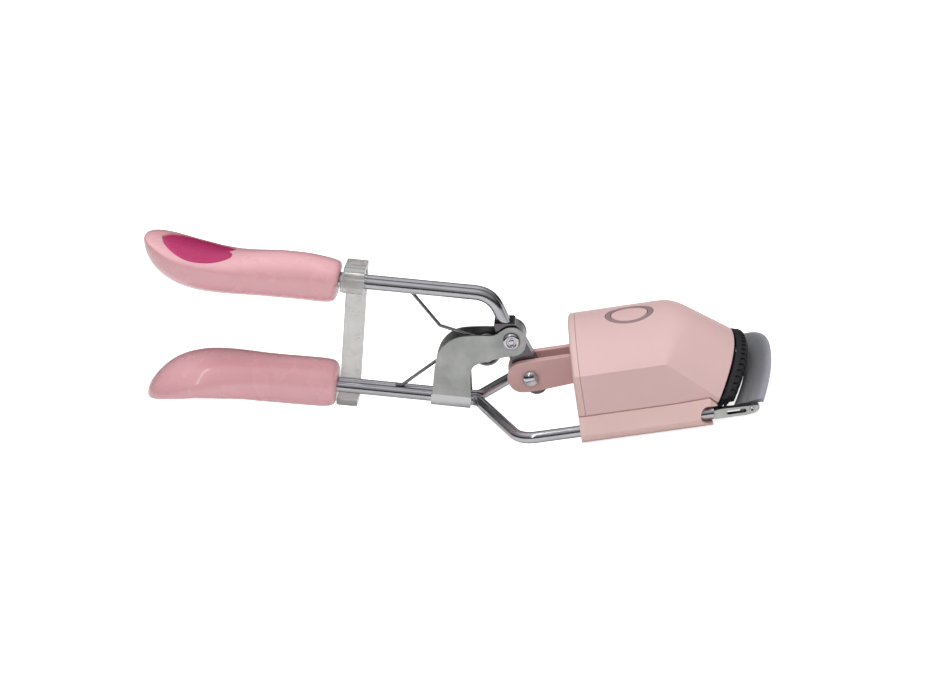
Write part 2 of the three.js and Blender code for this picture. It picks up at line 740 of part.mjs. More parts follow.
// point on the lower edge of a side facet
function shellFootPoint(side, row) {
  const bendX = [15.5, 17.4];
  const frontX = 24.1;
  const mouth = { x: 25.4, y: 1.6 };
  const narrowing = 0.75;
  let x = mouth.x;
  if (row <= ROW.flat) {
    x = SHELL_REAR_X + (bendX[0] - SHELL_REAR_X) * (row / ROW.flat);
  } else if (row <= ROW.bend) {
    x = bendX[0] + (bendX[1] - bendX[0]) * bendFraction(row);
  } else if (row <= ROW.beforeMouth) {
    const f = (row - ROW.bend) / (ROW.beforeMouth - ROW.bend);
    x = bendX[1] + (frontX - bendX[1]) * f;
  }
  const y = row > ROW.beforeMouth ? mouth.y : SHELL_FOOT_Y;
  return vec(x, y, side * (HOUSE.footZ - narrowing * Math.max(0, frontFraction(row))));
}

// rows from rear to mouth, columns across from -z to +z
function shellGrid() {
  return Array.from({ length: ROW.mouth + 1 }, (_, row) => {
    const facet = (side) => Array.from({ length: FACET_STEPS }, (__, j) =>
      shellFootPoint(side, row).lerp(shellTopPoint(side, row), j / FACET_STEPS));
    const top = Array.from({ length: SHELL_TOP_STEPS + 1 }, (__, j) =>
      shellTopPoint(-1 + (2 * j) / SHELL_TOP_STEPS, row));
    return [...facet(-1), ...top, ...facet(1).reverse()];
  });
}

function gridNormal(grid, i, j) {
  const lastRow = grid.length - 1;
  const lastColumn = grid[0].length - 1;
  const alongRows = grid[Math.min(lastRow, i + 1)][j].clone()
    .sub(grid[Math.max(0, i - 1)][j]);
  const alongColumns = grid[i][Math.min(lastColumn, j + 1)].clone()
    .sub(grid[i][Math.max(0, j - 1)]);
  return alongRows.cross(alongColumns).normalize();
}

// the grid moved inwards by the wall, which thins towards the mouth
function shellInside(grid) {
  const middle = vec(12, 4, 0);
  const thinning = 0.45;
  return grid.map((row, i) => row.map((p, j) => {
    const normal = gridNormal(grid, i, j);
    const inward = normal.dot(p.clone().sub(middle)) > 0 ? -1 : 1;
    const wall = HOUSE.wall - thinning * Math.max(0, frontFraction(i));
    const q = p.clone().addScaledVector(normal, inward * wall);
    if (i === 0) q.x = p.x;
    if (j === 0 || j === row.length - 1) q.y = p.y;
    return q;
  }));
}

const screwPilot = (x, side) => rodY(0.8, [-2, 3.2], x, side * SCREW.z, 12);

function housingShell() {
  const grid = shellGrid();
  const buttonHole = rodY(BUTTON.ringRadius + 0.12, [9, 20], BUTTON.x, 0, BUTTON.sides);
  let shell = cut(sheet(grid, shellInside(grid)), buttonHole);
  for (const side of SIDES) {
    const boss = rodY(1.9, [-0.6, 9.4], SCREW.frontX, side * SCREW.z, 16);
    shell = cut(join(shell, boss), screwPilot(SCREW.frontX, side));
  }
  return shell;
}

// ---------------------------------------------------------------- rear cap
// loop across the housing at x, drawn in by an inset
function capLoop([x, inset]) {
  const steps = 26;
  const foot = HOUSE.footZ - inset;
  const top = Array.from({ length: steps + 1 }, (_, j) => {
    const f = -1 + (2 * j) / steps;
    return vec(x, topY(HOUSE.topZ * f) - inset, (HOUSE.topZ - inset) * f);
  });
  return [vec(x, SHELL_FOOT_Y, -foot), ...top, vec(x, SHELL_FOOT_Y, foot)];
}

function rearCap() {
  const { rearX, seamX, ledgeY } = HOUSE;
  const rootX = seamX - 0.2;             // lugs and posts start inside the cap
  // rounded rim: [x, inset]
  const rim = [[rearX, 0.5], [rearX + 0.2, 0.15], [rearX + 0.5, 0], [seamX, 0]];
  let cap = loft(rim.map(capLoop));
  for (const side of SIDES) {            // lugs for the link pin
    const lug = box([rootX, 4.6], [4.6, 8.7], zSpan(side, 3.85, 5.35));
    cap = join(cap, cut(lug, rodZ(0.94, [-8, 8], LINK_PIN)));
  }
  for (const side of SIDES) {            // screw posts
    const z = side * SCREW.z;
    cap = join(cap, box([rootX, 5.9], [-0.55, 4.5], around(z, 1.8)));
    cap = cut(
      cap,
      screwPilot(SCREW.rearX, side),
      box([-1, seamX + 0.12], [-1, ledgeY + 0.02], around(z, 3)),
    );
  }
  const openingY = [2, 10.35];           // opening for the link arms
  return cut(
    cap,
    box([-1, seamX], openingY, [-4.1, 4.1]),
    box([seamX - 0.5, 3], openingY, [-3.8, 3.8]),
    barX(slotShape(-13.6, -8.1, 6.7, 1.7), [-3, 3], 8),   // port opening
  );
}

// ---------------------------------------------------------------- base plate
// +z half of the section through floor and rail [z, y]
const BASE_HALF = [
  [0, -2.05], [17.6, -2.05], [19.1, -1.75], [19.95, -1.0],
  [20.35, 0.05], [18.3, 2.85], [16.3, 2.85], [16.3, -0.85],
];
const CHEEK = [[23.6, 1.5], [25.2, 1.5], [24.05, 2.75], [23.6, 2.8]];   // [x, y]

function basePlate() {
  const { rearX, seamX, ledgeY } = HOUSE;
  const otherHalf = BASE_HALF.slice(1).reverse().map(([z, y]) => [-z, y]);
  const section = polyShape([...BASE_HALF, ...otherHalf]);
  const rearWall = box([rearX, seamX], [-1.2, ledgeY - 0.05], [-16.5, 16.5]);
  let base = join(barX(section, [rearX, 24.0]), rearWall);
  for (const side of SIDES) {
    base = cut(base, rodX(WIRE_RADIUS + 0.14, [-2, 30], GUIDE_Y, side * GUIDE_Z));
    // scooped recess where the wire leaves the rail
    const scoopZ = zSpan(side, 16.9, 21.5);
    base = cut(
      base,
      rodZ(1.65, scoopZ, [23.5, 0.25]),
      box([23.5, 27], [-1.4, 1.9], scoopZ),
    );
    // cheek that closes the corner under the front of the cover
    base = join(base, plate(polyShape(CHEEK), zSpan(side, 16.3, 18.3)));
    for (const x of [SCREW.rearX, SCREW.frontX]) {
      base = cut(
        base,
        rodY(0.85, [-3, 0], x, side * SCREW.z, 14),
        rodY(1.5, [-3, -1.6], x, side * SCREW.z, 18),
      );
    }
  }
  return base;
}

// cross-slotted screw, head down
function baseScrew(x, side) {
  const z = side * SCREW.z;
  const head = rodY(1.3, [-1.97, -1.65], x, z, 16);
  const shank = rodY(0.7, [-1.75, 2.4], x, z, 10);
  const slot = (halfX, halfZ) => box(around(x, halfX), [-2.3, -1.8], around(z, halfZ));
  return cut(join(head, shank), slot(0.75, 0.15), slot(0.15, 0.75));
}

// ---------------------------------------------------------------- button and ring
// everything under the housing arc, lowered by a depth
const underArc = (depth) => rodX(
  HOUSE.arcRadius - depth,
  around(BUTTON.x, 8),
  HOUSE.crestY - HOUSE.arcRadius,
  0,
  220,
);
const BUTTON_HOLE_RADIUS = BUTTON.ringRadius - BUTTON.ringWidth;
const buttonRod = (radius, span) => rodY(radius, span, BUTTON.x, 0, BUTTON.sides);

const ringTrim = () => cut(
  buttonRod(BUTTON.ringRadius, [13.4, 18]),
  buttonRod(BUTTON_HOLE_RADIUS, [12, 19]),
).intersect(underArc(0.04));

const powerButton = () =>
  buttonRod(BUTTON_HOLE_RADIUS - 0.13, [13.3, 18]).intersect(underArc(0.02));

// ---------------------------------------------------------------- inside the housing
const batteryCell = () => box([7.0, 18.4], [-0.4, 4.4], [-13, 13]);
const circuitBoard = () => box([6.4, 20.0], [9.6, 10.6], [-9.5, 9.5]);

const pushSwitch = () => join(
  box(around(BUTTON.x, 2.2), [10.75, 12.1], [-2.2, 2.2]),
  rodY(1.1, [12.0, 12.7], BUTTON.x, 0, 16),
);

// charging socket, open to the rear
function chargePort() {
  const can = box([1.45, 8.2], [5.1, 8.3], [-15.2, -6.5]);
  const cavity = box([0, 7.4], [5.45, 7.95], [-14.85, -6.85]);
  const tongue = box([3.0, 7.8], [6.45, 6.95], [-13.9, -7.8]);
  return join(cut(can, cavity), tongue);
}

// ---------------------------------------------------------------- heated comb
// profiles of arcs: [crest x, crest y, end x, end y, end z]
const HOLDER_PROFILE = [
  [25.5, 6.5, 22.2, 2.0, 15.4], [25.5, 3.0, 22.2, -0.3, 15.2],
  [30.9, 3.0, 26.1, -0.3, 15.2], [30.9, 6.5, 26.1, 2.0, 15.4],
];
const COMB_ROOT_PROFILE = [
  [31.2, 7.8, 26.35, 1.95, 16.3], [31.2, 5.45, 26.35, 0.65, 16.1],
  [32.2, 5.45, 27.3, 0.65, 16.1], [32.2, 7.75, 27.3, 1.95, 16.3],
];
const TOOTH_PROFILE = [
  [31.9, 7.75, 27.1, 1.95, 16.3], [31.9, 5.45, 27.1, 0.65, 16.1],
  [33.1, 5.6, 28.2, 0.7, 16.1], [33.25, 6.5, 28.35, 1.2, 16.2], [33.0, 7.5, 28.1, 1.8, 16.3],
];
const HEATER_PROFILE = [
  [31.2, 5.3, 26.4, 0.5, 15.9], [31.2, 4.8, 26.4, 0.05, 15.9],
  [31.8, 4.88, 26.95, 0.12, 15.9], [31.8, 5.3, 26.95, 0.5, 15.9],
];
const TEETH = { count: 24, gapBefore: 0.12, gapAfter: 0.5 };   // gaps in half pitches

function heatingComb() {
  const { count, gapBefore, gapAfter } = TEETH;
  const teeth = Array.from({ length: count }, (_, i) => {
    const t0 = -1 + (2 * i + gapBefore) / count;
    const t1 = -1 + (2 * (i + 1) - gapAfter) / count;
    return arcSolid(TOOTH_PROFILE, 1, t0, t1);
  });
  return join(arcSolid(COMB_ROOT_PROFILE, 24), ...teeth);
}

// ---------------------------------------------------------------- fixed jaw
const FLANGE = [                         // [x, y]
  [24.45, -0.95], [30.3, -0.92], [31.7, -0.72], [32.4, -0.35], [32.7, 0.1],
  [32.7, 0.5], [32.45, 0.72], [25.7, 0.92], [24.45, 0.7],
];
const RIVET_AT = [31.3, 0.0];
const RIVET = [                          // hollow, with a rolled rim: [radius, z]
  [0, 17.45], [0.3, 17.45], [0.3, 18.62], [0.5, 18.62], [0.52, 18.7],
  [0.44, 18.8], [0.3, 18.8], [0.24, 18.7], [0.24, 18.1], [0, 18.1],
];
// profiles of arcs: [crest x, crest y, end x, end y, end z]
const BAND_PROFILE = [
  [32.9, 2.3, 28.9, -0.75, 17.7], [32.9, 1.9, 28.9, -1.0, 17.7],
  [35.4, 2.5, 31.6, -0.8, 17.7], [35.4, 2.9, 31.6, -0.45, 17.7],
];
const PAD_TOP = [
  [32.25, 3.4, 28.1, -0.02, 16.2], [32.6, 3.5, 29.6, 0.62, 16.3],
  [33.4, 3.65, 30.3, 0.7, 16.7], [34.6, 4.25, 31.1, 0.95, 17.0],
  [35.8, 5.0, 32.2, 1.2, 17.15], [36.8, 5.5, 33.0, 1.35, 17.2],
  [37.45, 5.55, 33.6, 1.25, 17.2],
];
const PAD = { thickness: 0.8, endInset: 0.15 };

function jawFrame() {
  const flanges = sidePlates(polyShape(FLANGE), 17.4, 18.6);
  const slots = sidePlates(slotShape(27.0, 29.9, 0.0, 0.38), 17.0, 19);
  const rivetHoles = SIDES.map((side) => rodZ(0.34, zSpan(side, 17.0, 19), RIVET_AT, 16));
  // the band stops inside the flanges
  const band = arcSolid(BAND_PROFILE, 26)
    .intersect(box([20, 40], [-10, 10], [-17.9, 17.9]));
  return cut(join(cut(join(...flanges), ...slots), band), ...rivetHoles);
}

const jawRivet = (side) =>
  turned(RIVET.map(([radius, z]) => [radius, side * z]), RIVET_AT, 16);

function jawPad() {
  const { thickness, endInset } = PAD;
  const underside = PAD_TOP.map(([crestX, crestY, endX, endY, endZ]) =>
    [crestX, crestY - thickness, endX, endY - thickness, endZ - endInset]);
  return arcSolid([...PAD_TOP, ...underside.reverse()], 30);
}

// ---------------------------------------------------------------- handle clip
// drawn across the upper wires: distance along them from the grip root, height out
const CLIP = { along: [1.25, 5.35], lowerWireHeight: -22.35, boreRadius: 2.42 };
const CLIP_LIP = {
  section: [[0.72, -1.35], [1.6, -1.35], [1.6, 1.75], [0.72, 1.75]],   // [along, height]
  z: [2.55, 3.6],
};

const clipPoint = (along, height, z) =>
  vec(...inFrame(UPPER_ROOT, UPPER_DIR, along, height), z);

// section [z, height]: a hook over the upper wires, a long leg, a foot below
function clipSection() {
  const { lowerWireHeight: low, boreRadius } = CLIP;
  return polyShape([
    [3.6, -1.5], [3.6, 2.7], [3.1, 3.4], [-3.2, 3.4], [-3.7, 2.8], [-3.7, -2.2],
    [-3.7, low - 2.6], [-3.2, low - 3.0], [1.9, low - 3.0], [2.3, low - 2.6],
    [2.3, low - 1.75], [1.9, low - 1.5], [-1.6, low - 1.5], [-2.6, low - 0.8],
    [-2.6, -2.0], [-2.4, -0.4],
    ...arcPoints([0, 0], boreRadius, Math.PI + 0.15, 0, 14),
    [boreRadius, -1.5],
  ]);
}

function handleClip() {
  const [from, to] = CLIP.along;
  const geometry = extrude(clipSection(), to - from);
  const position = geometry.attributes.position;
  for (let i = 0; i < position.count; i++) {
    const p = clipPoint(from + position.getZ(i), position.getY(i), position.getX(i));
    position.setXYZ(i, p.x, p.y, p.z);
  }
  // lip beside the wires that reaches to the end of the grip
  const lip = loft(CLIP_LIP.z.map((z) =>
    CLIP_LIP.section.map(([along, height]) => clipPoint(along, height, z))));
  return join(solidOf(geometry, true), lip);
}

// ---------------------------------------------------------------- materials
const LOOKS = {
  chrome: { color: 0xb9bbc0, roughness: 0.16, metalness: 1.0 },
  steel: { color: 0xaeb1a8, roughness: 0.38, metalness: 0.9 },
  darkSteel: { color: 0x54545a, roughness: 0.3, metalness: 0.9 },
  spring: { color: 0x8d9094, roughness: 0.3, metalness: 1.0 },
  grip: { color: 0xdfa2ae, roughness: 0.22, metalness: 0.0 },
  heart: { color: 0xb92869, roughness: 0.35, metalness: 0.0 },
  shell: { color: 0xe1bebe, roughness: 0.42, metalness: 0.0 },
  ring: { color: 0xa58e93, roughness: 0.4, metalness: 0.1 },
  black: { color: 0x1b1b1d, roughness: 0.45, metalness: 0.0 },
  smoke: { color: 0x77777b, roughness: 0.2, metalness: 0.0 },
  clear: { color: 0xdfe2dd, roughness: 0.1, metalness: 0.0 },
  board: { color: 0x1f6b3a, roughness: 0.5, metalness: 0.0 },
  cell: { color: 0x6f8fb0, roughness: 0.4, metalness: 0.2 },
  ceramic: { color: 0x35343a, roughness: 0.6, metalness: 0.0 },
};

// ---------------------------------------------------------------- assembly
const group = new THREE.Group();
const drawing = new THREE.Group();
drawing.rotation.x = Math.PI / 2;
drawing.position.set(-BOX_CENTRE.x, 0, -BOX_CENTRE.y);
group.add(drawing);

function add(name, solid, look) {
  const material = new THREE.MeshStandardMaterial(LOOKS[look]);
  const mesh = new THREE.Mesh(geometryOf(solid), material);
  mesh.name = name;
  drawing.add(mesh);
}

function addPair(name, makeSolid, look) {
  for (const [sideName, side] of Object.entries(SIDE)) {
    add(`${name}_${sideName}`, makeSolid(side), look);
  }
}

addPair('frame_wire', frameWire, 'chrome');
add('bracket', bracket(), 'steel');
add('pivot_pin', turned(PIVOT_PIN, PIVOT), 'chrome');
add('spring_post', turned(SPRING_POST, COIL), 'steel');
add('torsion_spring', torsionSpring(), 'spring');

for (const [name, grip] of [['upper_grip', UPPER_GRIP], ['lower_grip', LOWER_GRIP]]) {
  add(name, gripBody(grip), 'grip');
  add(`${name}_inlay`, gripInlay(grip), 'heart');
}

addPair('lever_wire', leverWire, 'chrome');
add('lever_head', leverHead(), 'darkSteel');
add('crank_pin', turned(CRANK_PIN, CRANK), 'chrome');
addPair('link_arm', linkArm, 'shell');
add('link_pin', rodZ(0.82, [-5.1, 5.1], LINK_PIN, 20), 'steel');

add('housing_shell', housingShell(), 'shell');
add('rear_cap', rearCap(), 'shell');
add('base_plate', basePlate(), 'shell');
addPair('base_screw_rear', (side) => baseScrew(SCREW.rearX, side), 'steel');
addPair('base_screw_front', (side) => baseScrew(SCREW.frontX, side), 'steel');
add('ring_trim', ringTrim(), 'ring');
add('power_button', powerButton(), 'shell');

add('battery_cell', batteryCell(), 'cell');
add('circuit_board', circuitBoard(), 'board');
add('push_switch', pushSwitch(), 'black');
add('charge_port', chargePort(), 'steel');
add('comb_holder', arcSolid(HOLDER_PROFILE, 18), 'black');
add('heating_comb', heatingComb(), 'black');
add('heater_plate', arcSolid(HEATER_PROFILE, 18), 'ceramic');

add('jaw_frame', jawFrame(), 'chrome');
addPair('jaw_rivet', jawRivet, 'steel');
add('jaw_pad', jawPad(), 'smoke');
add('handle_clip', handleClip(), 'clear');

export default group;
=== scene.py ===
"""A hand-held lever clamp: two wire-framed pink grips with heart inlays, a coil spring,
a curved jaw pad and a heated comb in a pink housing.

Pieces are drawn in millimetres: x runs from the grips to the jaw, y up to the button
side and z towards the viewer. place() turns that into world metres, where drawing y
is world +Z and drawing z is world -Y. The product's middle plane is z = 0.
"""
import bpy
import bmesh
import json
import math
from mathutils import Vector, Matrix

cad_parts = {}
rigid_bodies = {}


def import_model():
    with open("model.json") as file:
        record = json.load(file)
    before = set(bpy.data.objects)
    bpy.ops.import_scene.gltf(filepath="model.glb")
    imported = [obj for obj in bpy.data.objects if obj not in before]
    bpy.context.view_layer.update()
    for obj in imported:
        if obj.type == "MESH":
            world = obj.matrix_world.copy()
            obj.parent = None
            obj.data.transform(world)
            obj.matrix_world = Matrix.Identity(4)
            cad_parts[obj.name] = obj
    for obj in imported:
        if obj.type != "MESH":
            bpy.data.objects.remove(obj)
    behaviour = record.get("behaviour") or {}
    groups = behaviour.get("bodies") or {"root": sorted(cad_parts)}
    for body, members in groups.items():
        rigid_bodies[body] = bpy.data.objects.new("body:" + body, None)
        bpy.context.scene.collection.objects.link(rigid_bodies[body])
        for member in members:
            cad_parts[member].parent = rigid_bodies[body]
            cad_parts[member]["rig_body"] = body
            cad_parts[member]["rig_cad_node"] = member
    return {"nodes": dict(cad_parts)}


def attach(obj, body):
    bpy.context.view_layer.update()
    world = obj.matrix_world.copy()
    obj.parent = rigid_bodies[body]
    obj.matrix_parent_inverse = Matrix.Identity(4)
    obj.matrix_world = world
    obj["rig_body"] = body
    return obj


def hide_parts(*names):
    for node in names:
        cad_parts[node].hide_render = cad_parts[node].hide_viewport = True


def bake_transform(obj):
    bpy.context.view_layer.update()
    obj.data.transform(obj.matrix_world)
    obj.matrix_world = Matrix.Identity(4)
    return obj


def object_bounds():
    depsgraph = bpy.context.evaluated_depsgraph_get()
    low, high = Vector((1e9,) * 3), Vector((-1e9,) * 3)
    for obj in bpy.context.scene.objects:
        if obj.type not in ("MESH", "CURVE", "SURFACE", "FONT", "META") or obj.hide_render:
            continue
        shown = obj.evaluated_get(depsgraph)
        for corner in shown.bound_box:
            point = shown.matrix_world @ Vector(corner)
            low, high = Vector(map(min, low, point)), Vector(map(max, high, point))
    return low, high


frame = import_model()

nodes = frame["nodes"]

for old in list(bpy.context.scene.objects):
    if old.type in ("MESH", "LIGHT", "CAMERA") and "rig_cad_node" not in old:
        bpy.data.objects.remove(old)
frame_low, frame_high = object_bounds()

# ------------------------------------------------------------------ driving sizes, mm
ORIGIN_X, ORIGIN_Y = -23.5421, 21.7906      # drawing point at the world origin

WIRE_RADIUS = 1.1
WIRE_HALF_GAP = 1.12        # bar centre to middle plane, where the bars run side by side
JAW_WIRE_Z = 18.0           # bar centre to middle plane, at the jaw
JAW_WIRE_Y = 0.1

# Centre line of the lower bars: a point on it and its fall per unit of x
LOWER_BAR_X, LOWER_BAR_Y = -21.5, 2.75
LOWER_BAR_FALL = 0.2625

# Jaw end of each grip's axis, and the axis direction towards the jaw
UPPER_ROOT, UPPER_AXIS = (-42.45, 30.75), (0.9675, -0.2529)
LOWER_ROOT, LOWER_AXIS = (-46.9, 9.42), (0.9672, -0.2539)


def place(x, y, z=0.0):
    """World point of a drawing point."""
    return Vector(((x - ORIGIN_X) / 1000.0, -z / 1000.0, (y - ORIGIN_Y) / 1000.0))


# ------------------------------------------------------------------ shader helpers
def linear(rgb):
    """Linear RGBA of an sRGB colour given in 0-255."""
    out = []
    for c in rgb:
        c = c / 255.0
        out.append(c / 12.92 if c <= 0.04045 else ((c + 0.055) / 1.055) ** 2.4)
    return tuple(out) + (1.0,)


def scaled(colour, factor):
    """The colour made darker or lighter, kept below white."""
    return tuple(min(1, c * factor) for c in colour[:3]) + (1,)


class Graph:
    """A node tree, emptied and ready to fill."""

    def __init__(self, tree):
        self.tree = tree
        tree.nodes.clear()

    def feed(self, node, inputs):
        """Links the sockets and sets the plain values."""
        for key, value in inputs.items():
            if isinstance(value, bpy.types.NodeSocket):
                self.tree.links.new(value, node.inputs[key])
            else:
                node.inputs[key].default_value = value

    def add(self, kind, inputs=None, **settings):
        node = self.tree.nodes.new(kind)
        for key, value in settings.items():
            setattr(node, key, value)
        self.feed(node, inputs or {})
        return node

    def ramp(self, fac, stops):
        node = self.add("ShaderNodeValToRGB", {0: fac})
        elements = node.color_ramp.elements
        while len(elements) < len(stops):
            elements.new(0.5)
        for element, (position, colour) in zip(elements, stops):
            element.position = position
            element.color = colour
        return node.outputs[0]

    def remap(self, fac, source, target):
        """Maps the source range onto the target range, clamped."""
        return self.add("ShaderNodeMapRange", {
            "Value": fac, "From Min": source[0], "From Max": source[1],
            "To Min": target[0], "To Max": target[1]}).outputs[0]


class Material(Graph):
    """A Principled material textured in object space."""

    def __init__(self, name):
        self.data = bpy.data.materials.new(name)
        self.data.use_nodes = True
        super().__init__(self.data.node_tree)
        output = self.add("ShaderNodeOutputMaterial")
        self.principled = self.add("ShaderNodeBsdfPrincipled")
        self.feed(output, {0: self.principled.outputs[0]})
        self.object_coords = None
        self.normal = None

    def coords(self):
        if self.object_coords is None:
            self.object_coords = self.add("ShaderNodeTexCoord").outputs["Object"]
        return self.object_coords

    def shade(self, **inputs):
        """Sets Principled inputs; an underscore stands for a space in the name."""
        self.feed(self.principled, {k.replace("_", " "): v for k, v in inputs.items()})

    def noise(self, scale, detail, roughness, distortion=0.0, vector=None):
        return self.add("ShaderNodeTexNoise", {
            "Scale": scale, "Detail": detail, "Roughness": roughness,
            "Distortion": distortion,
            "Vector": self.coords() if vector is None else vector}).outputs["Fac"]

    def streaks(self, stretch, detail, roughness):
        """Noise with its own scale along each axis."""
        mapping = self.add("ShaderNodeMapping", {"Vector": self.coords(), "Scale": stretch})
        return self.noise(1.0, detail, roughness, vector=mapping.outputs[0])

    def tone(self, fac, colour, over):
        """Lays a plain colour over a colour socket."""
        return self.add("ShaderNodeMix", {0: fac, 6: colour, 7: over},
                        data_type="RGBA").outputs[2]

    def bump(self, height, strength, distance):
        """Adds relief on top of any earlier bump."""
        inputs = {"Height": height, "Strength": strength, "Distance": distance}
        if self.normal is not None:
            inputs["Normal"] = self.normal
        self.normal = self.add("ShaderNodeBump", inputs).outputs[0]
        self.shade(Normal=self.normal)


# ------------------------------------------------------------------ materials
def metal(name, rgb, roughness, scale=1.0, brushed=None, mottle=0.04):
    """Bare metal; brushed is the stretch of its brush lines."""
    m = Material(name)
    base = linear(rgb)
    patches = m.noise(260 * scale, detail=4, roughness=0.6)
    colour = m.ramp(patches, [(0.3, scaled(base, 1 - 2.2 * mottle)),
                              (0.7, scaled(base, 1 + mottle))])
    smear = m.noise(140 * scale, detail=5, roughness=0.65, distortion=0.6)
    m.shade(Base_Color=colour, Metallic=1.0, Roughness=m.remap(
        smear, source=(0.3, 0.75), target=(roughness * 0.6, roughness * 1.5)))
    if brushed is None:
        # faint polishing lines and pin-prick marks
        lines = m.streaks((300, 5200, 5200), detail=2, roughness=0.5)
        m.bump(lines, strength=0.05, distance=0.00002)
        pricks = m.noise(5200, detail=1, roughness=0.5)
        m.bump(pricks, strength=0.04, distance=0.000015)
    else:
        lines = m.streaks(brushed, detail=4, roughness=0.7)
        m.bump(lines, strength=0.25, distance=0.00003)
        fine = m.streaks(tuple(3.1 * b for b in brushed), detail=2, roughness=0.6)
        m.bump(fine, strength=0.15, distance=0.00002)
    return m.data


def speckled(m, colour, base):
    """Sparse darker specks laid over a colour."""
    cells = m.add("ShaderNodeTexVoronoi",
                  {"Scale": 420, "Randomness": 1.0, "Vector": m.coords()})
    dots = m.remap(cells.outputs["Distance"], source=(0.0, 0.11), target=(0.35, 0.0))
    gate = m.remap(m.noise(160, detail=1, roughness=0.5),
                   source=(0.55, 0.62), target=(0.0, 1.0))
    specks = m.add("ShaderNodeMath", {0: dots, 1: gate},
                   operation="MULTIPLY", use_clamp=True)
    return m.tone(specks.outputs[0], colour, scaled(base, 0.72))


def plastic(name, rgb, roughness, coat=0.0, grain=0.3, variation=0.03, subsurface=0.05,
            tint=None, specks=False):
    m = Material(name)
    base = linear(rgb)
    broad = m.noise(90, detail=4, roughness=0.6)
    colour = m.ramp(broad, [(0.32, scaled(base, 1 - variation)),
                            (0.68, scaled(base, 1 + variation))])
    if tint is not None:
        # some zones take a slightly different tone
        zone = m.remap(m.noise(45, detail=3, roughness=0.5),
                       source=(0.45, 0.8), target=(0.0, 0.35))
        colour = m.tone(zone, colour, linear(tint))
    if specks:
        colour = speckled(m, colour, base)
    gloss = m.noise(210, detail=5, roughness=0.6, distortion=0.4)
    m.shade(Base_Color=colour,
            Roughness=m.remap(gloss, source=(0.3, 0.7),
                              target=(roughness * 0.8, roughness * 1.25)),
            Coat_Weight=coat, Coat_Roughness=0.06, Subsurface_Weight=subsurface,
            Subsurface_Scale=0.0015, Subsurface_Radius=(1.0, 0.5, 0.4))
    m.bump(m.noise(4200, detail=2, roughness=0.55), strength=grain * 0.25, distance=0.00003)
    m.bump(m.noise(420, detail=2, roughness=0.4), strength=grain * 0.08, distance=0.00006)
    return m.data


def bracket_steel():
    """Mottled plate that turns glossier low down, around the lower bars, and brighter there as
    a painted highlight.
    """
    m = Material("bracket_steel")
    axes = m.add("ShaderNodeSeparateXYZ", {0: m.coords()}).outputs
    # slope * x + z is constant along the bars, so it measures height above them
    height = m.add("ShaderNodeMath", {0: axes["X"], 1: LOWER_BAR_FALL, 2: axes["Z"]},
                   operation="MULTIPLY_ADD")
    bar_level = (LOWER_BAR_FALL * ((LOWER_BAR_X - ORIGIN_X) / 1000.0)
                 + (LOWER_BAR_Y - ORIGIN_Y) / 1000.0)
    wrap = m.remap(height.outputs[0], source=(bar_level + 0.00105, bar_level + 0.0013),
                   target=(1.0, 0.0))
    plate = m.ramp(m.noise(170, detail=4, roughness=0.6),
                   [(0.32, linear((158, 160, 158))), (0.5, linear((176, 178, 175))),
                    (0.68, linear((190, 192, 188)))])
    # painted highlight: the wrap around the bars takes a brighter colour; its lower roughness
    # below is real gloss
    colour = m.tone(wrap, plate, linear((208, 208, 210)))
    plate_roughness = m.remap(m.noise(120, detail=5, roughness=0.65),
                              source=(0.3, 0.7), target=(0.26, 0.44))
    wrap_roughness = 0.15
    roughness = m.add("ShaderNodeMix", {0: wrap, 2: plate_roughness, 3: wrap_roughness},
                      data_type="FLOAT")
    m.shade(Base_Color=colour, Metallic=1.0, Roughness=roughness.outputs[0])
    m.bump(m.streaks((420, 3000, 2600), detail=4, roughness=0.7),
           strength=0.18, distance=0.00003)
    return m.data


def clear_plastic():
    m = Material("clear_plastic")
    streak = m.streaks((90, 200, 2600), detail=3, roughness=0.6)
    cloud = m.noise(320, detail=3, roughness=0.5)
    m.shade(Base_Color=m.ramp(cloud, [(0.3, linear((228, 227, 223))),
                                      (0.7, linear((246, 245, 243)))]),
            Roughness=m.remap(streak, source=(0.3, 0.7), target=(0.05, 0.18)),
            IOR=1.42, Transmission_Weight=0.72)
    m.bump(streak, strength=0.12, distance=0.00004)
    m.bump(m.noise(1500, detail=2, roughness=0.5), strength=0.15, distance=0.00004)
    return m.data


def smoke_silicone():
    """Grey silicone, paler and bluer where the pad's "lip" attribute rises, as a painted
    highlight on the jaw-side lip.
    """
    m = Material("smoke_silicone")
    lip = m.add("ShaderNodeAttribute", attribute_name="lip")
    # painted highlight: the ramp turns paler and bluer towards the jaw-side lip
    colour = m.ramp(lip.outputs["Fac"], [
        (0.0, linear((112, 112, 115))), (0.6, linear((134, 134, 139))),
        (0.8, linear((158, 158, 168))), (1.0, linear((172, 172, 184)))])
    haze = m.remap(m.noise(240, detail=4, roughness=0.6),
                   source=(0.4, 0.75), target=(0.0, 0.25))
    m.shade(Base_Color=m.tone(haze, colour, linear((122, 122, 128))),
            Roughness=m.remap(m.noise(300, detail=4, roughness=0.6),
                              source=(0.3, 0.7), target=(0.26, 0.44)),
            Coat_Weight=0.15, Coat_Roughness=0.15, IOR=1.42, Transmission_Weight=0.10,
            Subsurface_Weight=0.15, Subsurface_Scale=0.0015)
    m.bump(m.noise(3000, detail=2, roughness=0.5), strength=0.08, distance=0.00003)
    return m.data


